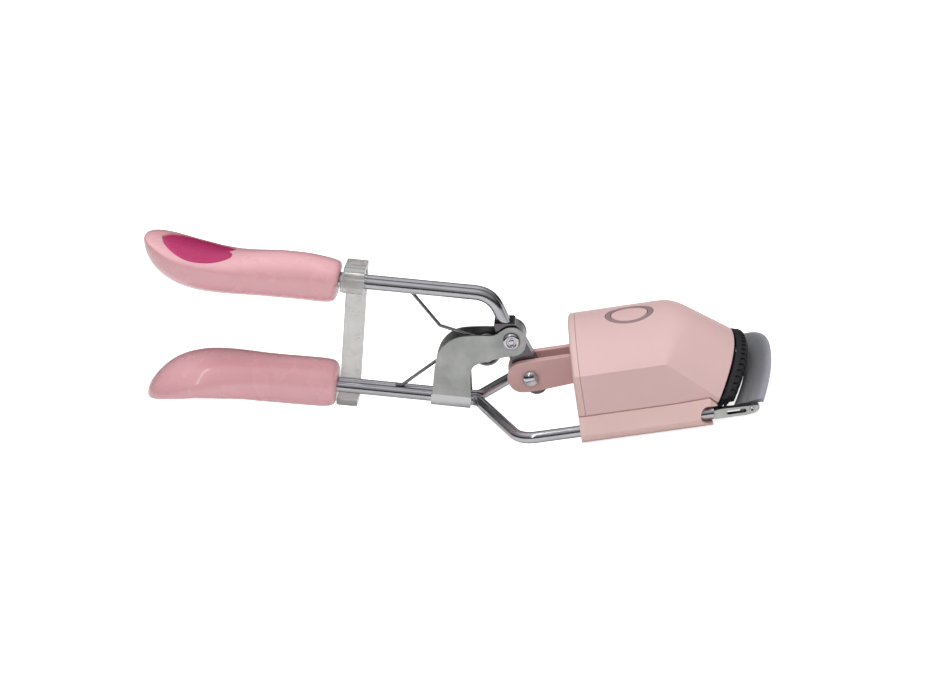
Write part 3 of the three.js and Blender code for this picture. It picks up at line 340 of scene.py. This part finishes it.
MATERIALS = {
    "chrome": metal("chrome", (196, 196, 200), roughness=0.14),
    "pin": metal("pin_chrome", (214, 214, 220), roughness=0.16, scale=2.0),
    "steel": metal("brushed_steel", (186, 187, 180), roughness=0.36,
                   brushed=(260, 3600, 2400), mottle=0.05),
    "flange": metal("stamped_steel", (184, 186, 182), roughness=0.2, scale=1.5,
                    brushed=(900, 2600, 3600), mottle=0.06),
    "dark": metal("black_nickel", (110, 106, 112), roughness=0.22, scale=1.5),
    "spring": metal("spring_wire", (150, 152, 156), roughness=0.24, scale=2.0),
    "screw": metal("screw_steel", (160, 160, 163), roughness=0.28, scale=3.0),
    "grip": plastic("grip_pink", (241, 182, 189), roughness=0.26, coat=0.8, grain=0.1,
                    variation=0.012, subsurface=0.08),
    "heart": plastic("heart_magenta", (194, 32, 104), roughness=0.26, coat=0.7,
                     grain=0.15, variation=0.07, subsurface=0.04),
    "shell": plastic("housing_pink", (230, 194, 192), roughness=0.45, coat=0.12,
                     grain=0.5, variation=0.015, subsurface=0.04,
                     tint=(230, 196, 194), specks=True),
    "cap": plastic("cap_pink", (232, 197, 192), roughness=0.40, coat=0.12, grain=0.55,
                   variation=0.02, subsurface=0.06),
    "arm": plastic("arm_pink", (226, 184, 181), roughness=0.36, coat=0.15, grain=0.5),
    "ring": plastic("ring_mauve", (160, 134, 138), roughness=0.35, coat=0.1, grain=0.6,
                    variation=0.04, subsurface=0.0),
    "black": plastic("black_plastic", (26, 25, 28), roughness=0.5, grain=0.6,
                     variation=0.12, subsurface=0.0),
    "board": plastic("solder_mask", (30, 98, 56), roughness=0.4, coat=0.3, grain=0.8,
                     variation=0.1, subsurface=0.0),
    "cell": plastic("cell_wrap", (118, 146, 176), roughness=0.3, coat=0.3, grain=0.4,
                    variation=0.05, subsurface=0.0),
    # painted shade: the heater plate is white ceramic, drawn near-black where it sits in shade
    # between the comb and the pad
    "ceramic": plastic("ceramic", (44, 43, 48), roughness=0.6, grain=0.8, subsurface=0.1),
    "bracket": bracket_steel(),
    "clear": clear_plastic(),
    "smoke": smoke_silicone(),
}


# ------------------------------------------------------------------ mesh helpers
def new_piece(name, mesh, body, material, node, angle=35):
    """Adds a piece that stands in for a CAD node; angle splits smooth from sharp."""
    piece = bpy.data.objects.new(name, mesh)
    bpy.context.scene.collection.objects.link(piece)
    mesh.materials.clear()
    mesh.materials.append(MATERIALS[material])
    mesh.polygons.foreach_set("use_smooth", [True] * len(mesh.polygons))
    mesh.set_sharp_from_angle(angle=math.radians(angle))
    if body is not None:
        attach(piece, body)
    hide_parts(node)
    return piece


def mesh_of(name, verts, faces):
    mesh = bpy.data.meshes.new(name)
    mesh.from_pydata([tuple(v) for v in verts], [], faces)
    bm = bmesh.new()
    bm.from_mesh(mesh)
    bmesh.ops.recalc_face_normals(bm, faces=bm.faces)
    bm.to_mesh(mesh)
    bm.free()
    mesh.update()
    return mesh


def ring_quads(rows, sides, start=0):
    """Quads joining successive closed rings of vertices."""
    faces = []
    for i in range(rows - 1):
        for k in range(sides):
            a = start + i * sides + k
            b = start + i * sides + (k + 1) % sides
            faces.append((a, b, b + sides, a + sides))
    return faces


def tube_mesh(name, verts, sides):
    """Closed tube through rings of vertices, capped at both ends."""
    faces = ring_quads(len(verts) // sides, sides)
    faces.append(tuple(range(sides - 1, -1, -1)))
    faces.append(tuple(range(len(verts) - sides, len(verts))))
    return mesh_of(name, verts, faces)


def add_bevel(piece, name, width, segments, angle):
    """Bevel of edges sharper than angle; width in mm."""
    modifier = piece.modifiers.new(name, "BEVEL")
    modifier.width = width / 1000.0
    modifier.segments = segments
    modifier.limit_method = "ANGLE"
    modifier.angle_limit = math.radians(angle)
    return modifier


def baked(piece):
    """Mesh of a piece with its modifiers applied."""
    depsgraph = bpy.context.evaluated_depsgraph_get()
    return bpy.data.meshes.new_from_object(piece.evaluated_get(depsgraph))


def cut(mesh, cutter):
    """The mesh with the cutter's volume taken away."""
    body = bpy.data.objects.new("tmp_a", mesh)
    tool = bpy.data.objects.new("tmp_b", cutter)
    for ob in (body, tool):
        bpy.context.scene.collection.objects.link(ob)
    modifier = body.modifiers.new("x", "BOOLEAN")
    modifier.operation = "DIFFERENCE"
    modifier.solver = "EXACT"
    modifier.object = tool
    out = baked(body)
    for ob in (body, tool):
        bpy.data.objects.remove(ob)
    return out


def smooth_rows(rows, per):
    """Catmull-Rom through rows of numbers, with per steps to each span."""
    out = []
    n = len(rows)
    for i in range(n - 1):
        span = (rows[max(0, i - 1)], rows[i], rows[i + 1], rows[min(n - 1, i + 2)])
        for k in range(per):
            t = k / per
            out.append(tuple(
                0.5 * (2 * b + (c - a) * t + (2 * a - 5 * b + 4 * c - d) * t * t
                       + (3 * b - a - 3 * c + d) * t ** 3)
                for a, b, c, d in zip(*span)))
    out.append(tuple(rows[-1]))
    return out


# ------------------------------------------------------------------ round wire
def sweep(name, points, radius, sides):
    """Round bar along points, with a cross frame that doesn't twist."""
    points = [Vector(p) for p in points]
    n = len(points)
    tangents = [(points[min(n - 1, i + 1)] - points[max(0, i - 1)]).normalized()
                for i in range(n)]
    near = Vector((0, 0, 1))
    across = (near - tangents[0] * near.dot(tangents[0])).normalized()
    verts = []
    for i, (point, tangent) in enumerate(zip(points, tangents)):
        if i:
            before = tangents[i - 1]
            axis = before.cross(tangent)
            if axis.length > 1e-9:
                turn = Matrix.Rotation(before.angle(tangent), 3, axis.normalized())
                across = turn @ across
            across = (across - tangent * across.dot(tangent)).normalized()
        other = tangent.cross(across)
        for k in range(sides):
            a = 2 * math.pi * k / sides
            q = point + (across * math.cos(a) + other * math.sin(a)) * radius
            verts.append(place(q.x, q.y, q.z))
    return tube_mesh(name, verts, sides)


def fillet(points, radii, arc=14):
    """Path with its inner corners rounded, each in arc steps."""
    points = [Vector(p) for p in points]
    out = [points[0]]
    for i in range(1, len(points) - 1):
        corner = points[i]
        back = (points[i - 1] - corner).normalized()
        ahead = (points[i + 1] - corner).normalized()
        half = math.acos(max(-1, min(1, back.dot(ahead)))) / 2
        reach = radii[i - 1] / math.tan(half)
        start, end = corner + back * reach, corner + ahead * reach
        for k in range(arc + 1):
            t = k / arc
            out.append(start * (1 - t) ** 2 + corner * 2 * t * (1 - t) + end * t * t)
    out.append(points[-1])
    return out


def subdivided(points, step=3.0):
    """Adds stations along long straight runs."""
    out = [points[0]]
    for a, b in zip(points, points[1:]):
        n = max(1, int((b - a).length / step))
        for k in range(1, n + 1):
            out.append(a.lerp(b, k / n))
    return out


# ------------------------------------------------------------------ bars
def build_bar(body, tag, points, radii):
    mesh = sweep("bar", subdivided(fillet(points, radii)), WIRE_RADIUS, sides=32)
    new_piece(f"bar_{body}_{tag}", mesh, body, "chrome", f"{body}_wire_{tag}")


def build_bars():
    tail_x = -74        # end of the frame bars, inside the lower grip
    tail_y = LOWER_BAR_Y - LOWER_BAR_FALL * (tail_x - LOWER_BAR_X)
    lever_reach = 29    # how far the lever bars run back from the upper grip's root
    axis = Vector((*UPPER_AXIS, 0)).normalized()
    lever_tail = Vector((*UPPER_ROOT, 0)) + axis * -lever_reach
    for side, tag in ((1, "near"), (-1, "far")):
        z, jaw_z = side * WIRE_HALF_GAP, side * JAW_WIRE_Z
        build_bar("frame", tag, [(tail_x, tail_y, z), (-19.9, 2.36, z),
                                 (-11.5, JAW_WIRE_Y, jaw_z), (24.35, JAW_WIRE_Y, jaw_z)],
                  radii=[2.2, 5.0])
        build_bar("lever", tag, [(lever_tail.x, lever_tail.y, z), (-13.8, 23.26, z),
                                 (-12.18, 17.32, z)], radii=[5.6])


build_bars()

# ------------------------------------------------------------------ grips
# Columns: distance from the root, outer height, inner height, height of the widest
# line, half width, squareness exponent of the outer side. Heights are from the axis.
UPPER_SECTIONS = [
    (0.0, 2.5, -3.2, 0.0, 4.0, 2.2), (0.35, 3.1, -3.95, 0.0, 4.7, 2.2),
    (1.1, 3.5, -4.4, 0.0, 5.1, 2.2), (3.0, 3.95, -4.6, 0.0, 5.25, 2.2),
    (7.0, 4.4, -4.5, 0.0, 5.35, 2.2), (11.0, 4.45, -4.5, 0.0, 5.5, 2.1),
    (15.0, 4.15, -4.5, 0.0, 5.8, 2.1), (18.0, 3.85, -4.55, 0.3, 6.3, 2.1),
    (21.0, 3.65, -4.6, 0.7, 6.9, 2.1), (24.0, 3.65, -4.55, 1.2, 7.5, 2.1),
    (27.0, 3.95, -4.35, 1.7, 7.9, 2.1), (30.0, 4.4, -3.8, 2.3, 7.95, 2.1),
    (32.5, 4.95, -2.9, 3.0, 7.5, 2.1), (34.5, 5.35, -1.85, 3.75, 6.7, 2.1),
    (36.2, 5.65, -0.5, 4.35, 5.5, 2.1), (37.5, 5.75, 1.2, 4.85, 4.0, 2.1),
    (38.3, 5.65, 2.9, 5.0, 2.4, 2.0), (38.6, 5.3, 4.3, 4.9, 1.0, 2.0),
]
LOWER_SECTIONS = [
    (0.0, 3.2, -3.4, 0.0, 4.0, 2.2), (0.35, 3.8, -4.2, 0.0, 4.7, 2.2),
    (1.1, 4.15, -4.75, 0.0, 5.1, 2.2), (3.0, 4.4, -4.95, 0.0, 5.25, 2.2),
    (7.0, 4.5, -4.9, 0.0, 5.35, 2.2), (11.0, 4.6, -4.8, 0.0, 5.5, 2.1),
    (15.0, 4.6, -4.75, 0.0, 5.8, 2.1), (18.0, 4.45, -4.8, 0.3, 6.3, 2.1),
    (21.0, 4.3, -4.8, 0.7, 6.9, 2.2), (24.0, 4.2, -4.65, 1.2, 7.5, 2.3),
    (27.0, 4.25, -4.3, 1.7, 7.9, 2.3), (30.0, 4.45, -3.55, 2.3, 7.95, 2.3),
    (32.5, 4.85, -2.55, 3.0, 7.5, 2.2), (34.5, 5.25, -1.3, 3.75, 6.7, 2.1),
    (36.2, 5.6, 0.25, 4.35, 5.5, 2.1), (37.5, 5.75, 1.9, 4.85, 4.0, 2.1),
    (38.3, 5.65, 3.3, 5.0, 2.4, 2.0), (38.6, 5.3, 4.4, 4.9, 1.0, 2.0),
]
GRIP_LENGTH_SCALE = 0.972   # drawn length of one unit of the first column
INNER_SQUARENESS = 2.05
GRIP_SIDES = 80
BORE_CLEARANCE = 0.12
BORE_SIDES = 40

# Half outline of the heart, tip to notch: distance from the root, z
HEART_HALF = [
    (35.1, 0), (34.5, 1.75), (33.9, 3.0), (32.5, 4.5), (31.0, 5.45), (29.4, 5.95),
    (27.5, 6.0), (25.6, 5.6), (23.7, 4.85), (22.1, 3.8), (21.1, 2.7), (20.85, 1.6),
    (21.2, 0.6),
]
HEART_NOTCH = (21.75, 0.0)
HEART_S, HEART_Z = 27.5, 0.7        # centre of the heart
HEART_STRETCH = 1.05                # widening in z


class Grip:
    """A grip's shape: s runs from the root to the free end, h outwards, z near."""

    def __init__(self, root, axis, out, sections):
        self.root, self.axis, self.sections = root, axis, sections
        self.normal = (-axis[1] * out, axis[0] * out)

    def point(self, s, h, z):
        x, y = (self.root[i] - self.axis[i] * GRIP_LENGTH_SCALE * s + self.normal[i] * h
                for i in (0, 1))
        return place(x, y, z)

    def slope(self, row, column):
        """Slope at a table row, flat at a turning point so the curve can't overshoot."""
        table = self.sections

        def rise(i):
            return ((table[i][column] - table[i - 1][column])
                    / (table[i][0] - table[i - 1][0]))

        if row == 0:
            return rise(1)
        if row == len(table) - 1:
            return rise(row)
        a, b = rise(row), rise(row + 1)
        return 0.0 if a * b <= 0 else 2 * a * b / (a + b)

    def section(self, s):
        """The table's columns after the first, at s, along a smooth curve."""
        table = self.sections
        i = 0
        while i < len(table) - 2 and s > table[i + 1][0]:
            i += 1
        p1, p2 = table[i], table[i + 1]
        span = p2[0] - p1[0]
        t = min(1.0, max(0.0, (s - p1[0]) / span))
        t2, t3 = t * t, t * t * t
        out = []
        for k in range(1, 6):
            m1, m2 = self.slope(i, k) * span, self.slope(i + 1, k) * span
            out.append((2 * t3 - 3 * t2 + 1) * p1[k] + (t3 - 2 * t2 + t) * m1
                       + (-2 * t3 + 3 * t2) * p2[k] + (t3 - t2) * m2)
        return out

    def on_face(self, s, z, lift):
        """Point at a lift above the outer face."""
        top, _, middle, half_width, square = self.section(s)
        q = min(0.98, abs(z) / half_width)
        face = middle + (top - middle) * (1 - q ** square) ** (1 / square)
        return self.point(s, face + lift, z)


def heart_outline(grow):
    half = smooth_rows(HEART_HALF, 5)
    loop = half + [HEART_NOTCH] + [(s, -z) for (s, z) in half[1:][::-1]]
    return [(HEART_S + (s - HEART_S) * grow, HEART_Z + z * HEART_STRETCH * grow)
            for (s, z) in loop]


def shrunk(outline, factor):
    """The outline drawn in towards the heart's centre."""
    return [(HEART_S + (s - HEART_S) * factor, HEART_Z + (z - HEART_Z) * factor)
            for (s, z) in outline]


def heart_cutter(grip, grow, below, above):
    """Heart-shaped prism that follows the outer face, from below it to above it."""
    outline = heart_outline(grow)
    sides = len(outline)
    rings = 8
    block = rings * sides + 1
    verts, faces = [], []
    for lift in (-below, above):
        for k in range(1, rings + 1):
            verts += [grip.on_face(s, z, lift) for s, z in shrunk(outline, k / rings)]
        verts.append(grip.on_face(HEART_S, HEART_Z, lift))
    for level in (0, 1):
        start = level * block
        quads = ring_quads(rings, sides, start)
        faces += quads if level else [q[::-1] for q in quads]
        centre = start + block - 1
        faces += [(centre, start + j, start + (j + 1) % sides) for j in range(sides)]
    low = (rings - 1) * sides
    high = block + low
    for j in range(sides):
        k = (j + 1) % sides
        faces.append((low + j, low + k, high + k, high + j))
    return mesh_of("prism", verts, faces)


def bore_cutter(grip):
    """Slot that takes both bars, from outside the root into the grip."""
    radius = WIRE_RADIUS + BORE_CLEARANCE
    verts = []
    for s in (-1.0, 30.0):
        for i in range(BORE_SIDES):
            a = 2 * math.pi * i / BORE_SIDES
            centre = WIRE_HALF_GAP * (1 if math.cos(a) >= 0 else -1)
            verts.append(grip.point(s, radius * math.sin(a), centre + radius * math.cos(a)))
    return tube_mesh("bore", verts, BORE_SIDES)


def grip_mesh(name, grip, lean):
    """Solid grip; lean tilts the outer half of the root end towards the jaw."""
    stations = [0.0, 0.12, 0.35, 0.7, 1.1, 1.7, 2.4]
    s = 3.2
    while s < 36.0:
        stations.append(s)
        s += 0.55
    stations += [36.4, 36.8, 37.15, 37.5, 37.8, 38.05, 38.25, 38.42, 38.55, 38.6]
    verts = []
    for s in stations:
        top, bottom, middle, half_width, square = grip.section(s)
        for i in range(GRIP_SIDES):
            a = 2 * math.pi * i / GRIP_SIDES
            ca, sa = math.cos(a), math.sin(a)
            power = 2 / (square if sa >= 0 else INNER_SQUARENESS)
            z = half_width * math.copysign(abs(ca) ** power, ca)
            rise = abs(sa) ** power
            h = middle + (top - middle) * rise if sa >= 0 else middle - (middle - bottom) * rise
            verts.append(grip.point(s - lean * max(0, h) * max(0, 1 - s / 5), h, z))
    return tube_mesh(name, verts, GRIP_SIDES)


def inlay_mesh(name, grip):
    """The heart: a slightly dished plate with a soft edge, set below the face."""
    outline = heart_outline(0.99)
    sides = len(outline)
    rings = 14
    face_depth, dish, edge_drop, underside = 0.10, 0.05, 0.14, 0.40
    soft_from = 0.93        # fraction of the way out where the edge starts to fall
    verts = []
    for k in range(1, rings + 1):
        f = k / rings
        edge = max(0.0, (f - soft_from) / 0.07)
        lift = -face_depth - dish * (1 - f * f) - edge_drop * edge * edge
        verts += [grip.on_face(s, z, lift) for s, z in shrunk(outline, f)]
    verts += [grip.on_face(s, z, -underside) for s, z in outline]
    verts.append(grip.on_face(HEART_S, HEART_Z, -(face_depth + dish)))
    verts.append(grip.on_face(HEART_S, HEART_Z, -underside))
    top, bottom = len(verts) - 2, len(verts) - 1
    faces = ring_quads(rings + 1, sides)
    rim = rings * sides
    for j in range(sides):
        k = (j + 1) % sides
        faces.append((top, j, k))
        faces.append((bottom, rim + k, rim + j))
    return mesh_of(name, verts, faces)


def build_grip(name, grip, body, lean):
    mesh = cut(grip_mesh(name, grip, lean), bore_cutter(grip))
    mesh = cut(mesh, heart_cutter(grip, grow=1.012, below=0.42, above=2.5))
    piece = new_piece("look_" + name, mesh, body, "grip", name, angle=40)
    add_bevel(piece, "lip", width=0.16, segments=3, angle=42)
    inlay = name + "_inlay"
    new_piece("look_" + inlay, inlay_mesh(inlay, grip), body, "heart", inlay,
              angle=60)


build_grip("upper_grip", Grip(UPPER_ROOT, UPPER_AXIS, 1, UPPER_SECTIONS), "lever", lean=0.2)
build_grip("lower_grip", Grip(LOWER_ROOT, LOWER_AXIS, -1, LOWER_SECTIONS), "frame", lean=0.0)


# ------------------------------------------------------------------ turned pins
# Profiles, far end to near end: radius, z
PIVOT_PROFILE = [
    (0.3, -3.8), (1.0, -3.8), (1.3, -3.7), (1.52, -3.52), (1.63, -3.3), (1.65, -3.02),
    (0.82, -3.02), (0.82, 3.02), (1.6, 3.02), (1.68, 3.1), (1.7, 3.3), (1.62, 3.5),
    (1.42, 3.66), (1.18, 3.73), (1.0, 3.7), (0.88, 3.58), (0.82, 3.46), (0.62, 3.42),
    (0.56, 3.5), (0.42, 3.56), (0.2, 3.58), (0.05, 3.58),
]
CRANK_PROFILE = [
    (0.4, -4.46), (0.8, -4.4), (1.15, -4.26), (1.38, -4.06), (1.49, -3.86), (1.5, -3.72),
    (0.85, -3.72), (0.85, 3.72), (1.55, 3.72), (1.6, 3.78),
]


def crank_dome():
    """Domed near head of the crank pin, rim to crown."""
    tip_radius, rim_radius, rim_z, height = 0.02, 1.56, 3.84, 0.88
    angles = [k / 11 * math.pi / 2 for k in range(1, 12)]
    return [(tip_radius + rim_radius * math.cos(a), rim_z + height * math.sin(a))
            for a in angles]


def build_pin(node, profile, x, y, body):
    sides = 56
    verts = []
    for radius, z in profile:
        for k in range(sides):
            a = 2 * math.pi * k / sides
            verts.append(place(x + radius * math.cos(a), y + radius * math.sin(a), z))
    name = "look_" + node
    new_piece(name, tube_mesh(name, verts, sides), body, "pin", node, angle=38)


build_pin("pivot_pin", PIVOT_PROFILE, x=-11.3, y=14.1, body="frame")
build_pin("crank_pin", CRANK_PROFILE + crank_dome(), x=-8.8, y=6.2, body="lever")


# ------------------------------------------------------------------ spring
def build_spring():
    """Coil with its lower leg on the frame, and an upper leg that bends to the lever."""
    coil_x, coil_y, coil_radius = -16.6, 12.15, 2.55
    far_z, near_z = -1.62, 1.62
    wire = {"radius": 0.33, "sides": 16}
    low_knee, high_knee = (-26.7, 10.95, far_z), (-24.5, 19.0, near_z)

    def tangent_angle(knee, side):
        """Angle on the coil where a line from the knee touches it."""
        dx, dy = coil_x - knee[0], coil_y - knee[1]
        return math.atan2(-dy, -dx) + side * math.acos(coil_radius / math.hypot(dx, dy))

    def on_coil(angle, z):
        return (coil_x + coil_radius * math.cos(angle),
                coil_y + coil_radius * math.sin(angle), z)

    start, end = tangent_angle(low_knee, 1), tangent_angle(high_knee, -1)
    turn = end - start + 8 * math.pi        # four whole turns more
    steps = int(turn / 0.14)
    coil = [Vector(on_coil(start + turn * i / steps, far_z + (near_z - far_z) * i / steps))
            for i in range(1, steps)]
    split = steps - 6       # where the leg's mesh takes over from the coil's

    low_leg = fillet([(-35.6, 7.6, 0), (-34.4, 7.33, 0), low_knee, on_coil(start, far_z)],
                     [0.6, 0.9], arc=8)
    mesh = sweep("spring", subdivided(low_leg, 1.0) + coil[:split], **wire)
    new_piece("spring_coil", mesh, "frame", "spring", "torsion_spring", 60)

    high_leg = fillet([on_coil(end, near_z), high_knee, (-28.55, 25.45, 0.15),
                       (-28.95, 26.0, 0)], [0.9, 0.4], arc=8)
    mesh = sweep("leg", coil[split - 1:] + subdivided(high_leg, 1.0), **wire)
    leg = new_piece("spring_leg", mesh, None, "spring", "torsion_spring", 60)
    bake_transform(leg)


build_spring()

# ------------------------------------------------------------------ jaw pad
# Upper face of the pad, one arc across z to a row: middle x, middle y, end x, end y, end z
PAD_ARCS = [
    (32.25, 3.4, 28.1, -0.02, 16.2), (32.6, 3.5, 29.6, 0.62, 16.3),
    (33.4, 3.65, 30.3, 0.7, 16.7), (34.6, 4.25, 31.1, 0.95, 17.0),
    (35.8, 5.0, 32.2, 1.2, 17.15), (36.8, 5.5, 33.0, 1.35, 17.2),
    (37.45, 5.55, 33.6, 1.25, 17.2),
]
PAD_THICKNESS = 0.79
PAD_INSET = 0.15        # how much shorter the lower face's half arcs are in z
PAD_STEPS = 72


def arc_point(arc, t):
    """Point of an arc at t: -1 far end, 0 middle, 1 near end."""
    middle_x, middle_y, end_x, end_y, end_z = arc
    drop = middle_y - end_y
    radius = (end_z * end_z + drop * drop) / (2 * drop)
    end_angle = math.asin(min(1.0, end_z / radius))
    a = t * end_angle
    f = (1 - math.cos(a)) / (1 - math.cos(end_angle))
    return (middle_x + (end_x - middle_x) * f, middle_y - radius * (1 - math.cos(a)),
            radius * math.sin(a))


def build_pad():
    top = smooth_rows(PAD_ARCS, 5)
    bottom = [(mx, my - PAD_THICKNESS, ex, ey - PAD_THICKNESS, ez - PAD_INSET)
              for (mx, my, ex, ey, ez) in top][::-1]
    profile = top + bottom
    # 0 along the edge towards the grips, rising to 1 at the jaw-side edge; the material paints
    # a highlight where it rises
    lip = [max(0.0, (i / (len(top) - 1) - 0.17) / 0.83) for i in range(len(top))]
    verts = [place(*arc_point(arc, -1 + 2 * i / PAD_STEPS))
             for i in range(PAD_STEPS + 1) for arc in profile]
    mesh = tube_mesh("look_jaw_pad", verts, len(profile))
    layer = mesh.attributes.new("lip", "FLOAT", "POINT")
    layer.data.foreach_set("value", (lip + lip[::-1]) * (PAD_STEPS + 1))
    pad = new_piece("look_jaw_pad", mesh, "frame", "smoke", "jaw_pad", angle=50)
    add_bevel(pad, "round", width=0.22, segments=3, angle=50)


build_pad()

# ------------------------------------------------------------------ finished CAD pieces
# CAD node, material, bevel width in mm
FINISHED = [
    ("bracket", "bracket", 0.09), ("lever_head", "dark", 0.16),
    ("spring_post", "steel", 0.06), ("jaw_frame", "flange", 0.07),
    ("jaw_rivet_near", "pin", 0.0), ("jaw_rivet_far", "pin", 0.0),
    ("link_arm_near", "arm", 0.28), ("link_arm_far", "arm", 0.28),
    ("link_pin", "screw", 0.0), ("housing_shell", "shell", 0.26),
    ("rear_cap", "cap", 0.22), ("base_plate", "cap", 0.28),
    ("ring_trim", "ring", 0.08), ("power_button", "shell", 0.14),
    ("base_screw_rear_near", "screw", 0.0), ("base_screw_rear_far", "screw", 0.0),
    ("base_screw_front_near", "screw", 0.0), ("base_screw_front_far", "screw", 0.0),
    ("heating_comb", "black", 0.07), ("comb_holder", "black", 0.1),
    # the heater plate takes painted shade in place of its white ceramic colour
    ("heater_plate", "ceramic", 0.06), ("battery_cell", "cell", 0.4),
    ("circuit_board", "board", 0.05), ("push_switch", "black", 0.1),
    ("charge_port", "screw", 0.06), ("handle_clip", "clear", 0.32),
]


def welded_mesh(node):
    """The node's mesh without UV maps, welded and with flat areas merged."""
    bm = bmesh.new()
    bm.from_mesh(nodes[node].data)
    for layer in list(bm.loops.layers.uv):
        bm.loops.layers.uv.remove(layer)
    bmesh.ops.remove_doubles(bm, verts=bm.verts, dist=2e-7)
    bmesh.ops.recalc_face_normals(bm, faces=bm.faces)
    bmesh.ops.dissolve_limit(bm, angle_limit=math.radians(0.6), verts=bm.verts,
                             edges=bm.edges)
    mesh = bpy.data.meshes.new(node + "_finish")
    bm.to_mesh(mesh)
    bm.free()
    return mesh


def bevelled(mesh, node, width):
    """The mesh with its edges broken; wide bevels get an extra segment."""
    ob = bpy.data.objects.new("tmp_" + node, mesh)
    bpy.context.scene.collection.objects.link(ob)
    modifier = add_bevel(ob, "b", width, segments=3 if width > 0.2 else 2, angle=28)
    modifier.use_clamp_overlap = True
    modifier.miter_outer = "MITER_ARC"
    out = baked(ob)
    bpy.data.objects.remove(ob)
    bpy.data.meshes.remove(mesh)
    out.name = node + "_finish"
    return out


def finish_piece(node, material, width):
    mesh = welded_mesh(node)
    if width:
        mesh = bevelled(mesh, node, width)
    piece = new_piece("look_" + node, mesh, nodes[node]["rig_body"], material, node, angle=32)
    shading = piece.modifiers.new("flat", "WEIGHTED_NORMAL")
    shading.keep_sharp = True
    shading.weight = 80


for node, material, width in FINISHED:
    finish_piece(node, material, width)


# ------------------------------------------------------------------ stage, metres
def build_floor():
    """White floor just under the product, lit up a little for the camera only."""
    half = 3.0
    z = min(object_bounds()[0].z, frame_low.z) - 0.0002
    mesh = bpy.data.meshes.new("floor")
    mesh.from_pydata([(-half, -half, z), (half, -half, z), (half, half, z), (-half, half, z)],
                     [], [(0, 1, 2, 3)])
    floor = bpy.data.objects.new("floor", mesh)
    bpy.context.scene.collection.objects.link(floor)
    m = Material("floor_white")
    camera_ray = m.add("ShaderNodeLightPath").outputs["Is Camera Ray"]
    glow = m.add("ShaderNodeMath", {0: camera_ray, 1: 0.8}, operation="MULTIPLY")
    m.shade(Base_Color=(0.93, 0.93, 0.93, 1), Roughness=0.9, Specular_IOR_Level=0.1,
            Emission_Color=(1, 1, 1, 1), Emission_Strength=glow.outputs[0])
    mesh.materials.append(m.data)


# Sky brightness by height: 0 straight down, 0.5 the horizon, 1 straight up
ROOM_LEVELS = [(0.0, 0.9), (0.49, 0.75), (0.53, 0.10), (0.60, 0.07), (0.68, 0.28),
               (0.78, 0.55), (0.88, 0.95), (1.0, 1.0)]
GLOSSY_LEVELS = [(0.0, 0.5), (0.49, 0.4), (0.52, 0.03), (0.62, 0.03), (0.70, 0.12),
                 (0.80, 0.34), (0.90, 0.42), (0.95, 0.75), (1.0, 0.8)]


def build_world():
    """White to the camera, one gradient for reflections and another for the rest."""
    world = bpy.data.worlds.new("studio")
    bpy.context.scene.world = world
    world.use_nodes = True
    g = Graph(world.node_tree)
    output = g.add("ShaderNodeOutputWorld")
    rays = g.add("ShaderNodeLightPath").outputs
    direction = g.add("ShaderNodeTexCoord").outputs["Generated"]
    up = g.add("ShaderNodeSeparateXYZ", {0: direction}).outputs["Z"]
    height = g.remap(up, source=(-1, 1), target=(0, 1))

    def gradient(levels, blue):
        return g.ramp(height, [(position, (c, c, c * blue, 1)) for position, c in levels])

    room = g.add("ShaderNodeBackground", {"Color": gradient(ROOM_LEVELS, blue=1.01),
                                          "Strength": 0.55})
    backdrop = g.add("ShaderNodeBackground", {"Color": (1, 1, 1, 1), "Strength": 1.0})
    glossy = g.add("ShaderNodeBackground", {"Color": gradient(GLOSSY_LEVELS, blue=1.03)})
    seen = g.add("ShaderNodeMixShader", {0: rays["Is Camera Ray"], 2: backdrop.outputs[0]})
    lit = g.add("ShaderNodeMixShader", {0: rays["Is Glossy Ray"], 1: room.outputs[0],
                                        2: glossy.outputs[0]})
    g.feed(seen, {1: lit.outputs[0]})
    g.feed(output, {0: seen.outputs[0]})


def area_light(name, location, target, size, power, length=None, in_reflections=False):
    """Square lamp aimed at target, or a rectangle when given a length."""
    light = bpy.data.lights.new(name, "AREA")
    light.energy = power
    light.size = size
    if length:
        light.shape = "RECTANGLE"
        light.size_y = length
    lamp = bpy.data.objects.new(name, light)
    lamp.location = location
    aim = Vector(target) - Vector(location)
    lamp.rotation_euler = aim.to_track_quat("-Z", "Y").to_euler()
    bpy.context.scene.collection.objects.link(lamp)
    lamp.visible_glossy = in_reflections


def build_camera():
    """Camera on the near side, above the product and looking down at it."""
    data = bpy.data.cameras.new("cam")
    data.sensor_fit = "HORIZONTAL"
    data.sensor_width = 36.0
    data.lens = 57.8778135
    data.clip_start = 0.005
    data.clip_end = 50
    camera = bpy.data.objects.new("cam", data)
    right = (0.984096, 0.051607, -0.169711)
    up = (0.141680, 0.346567, 0.927190)
    back = (0.106709, -0.936582, 0.333807)
    pose = Matrix((right, up, back)).transposed().to_4x4()
    pose.translation = place(10.7297, 110.3310, 274.0400)
    camera.matrix_world = pose
    bpy.context.scene.collection.objects.link(camera)
    bpy.context.scene.camera = camera


build_floor()
build_world()
area_light("key", (-0.06, 0.08, 0.62), (0, 0, 0), size=0.5, power=2.1)
area_light("front", (-0.16, -0.80, 0.34), (-0.02, 0, 0), size=0.45, power=0.70)
area_light("right", (0.62, -0.22, 0.36), (0.02, 0, 0), size=0.4, power=0.95)
area_light("strip", (-0.10, -0.36, 0.50), (-0.02, 0, 0), size=0.035, power=0.34,
           length=0.75, in_reflections=True)
build_camera()
bpy.context.scene.view_settings.view_transform = "Standard"
bpy.context.scene.view_settings.look = "None"
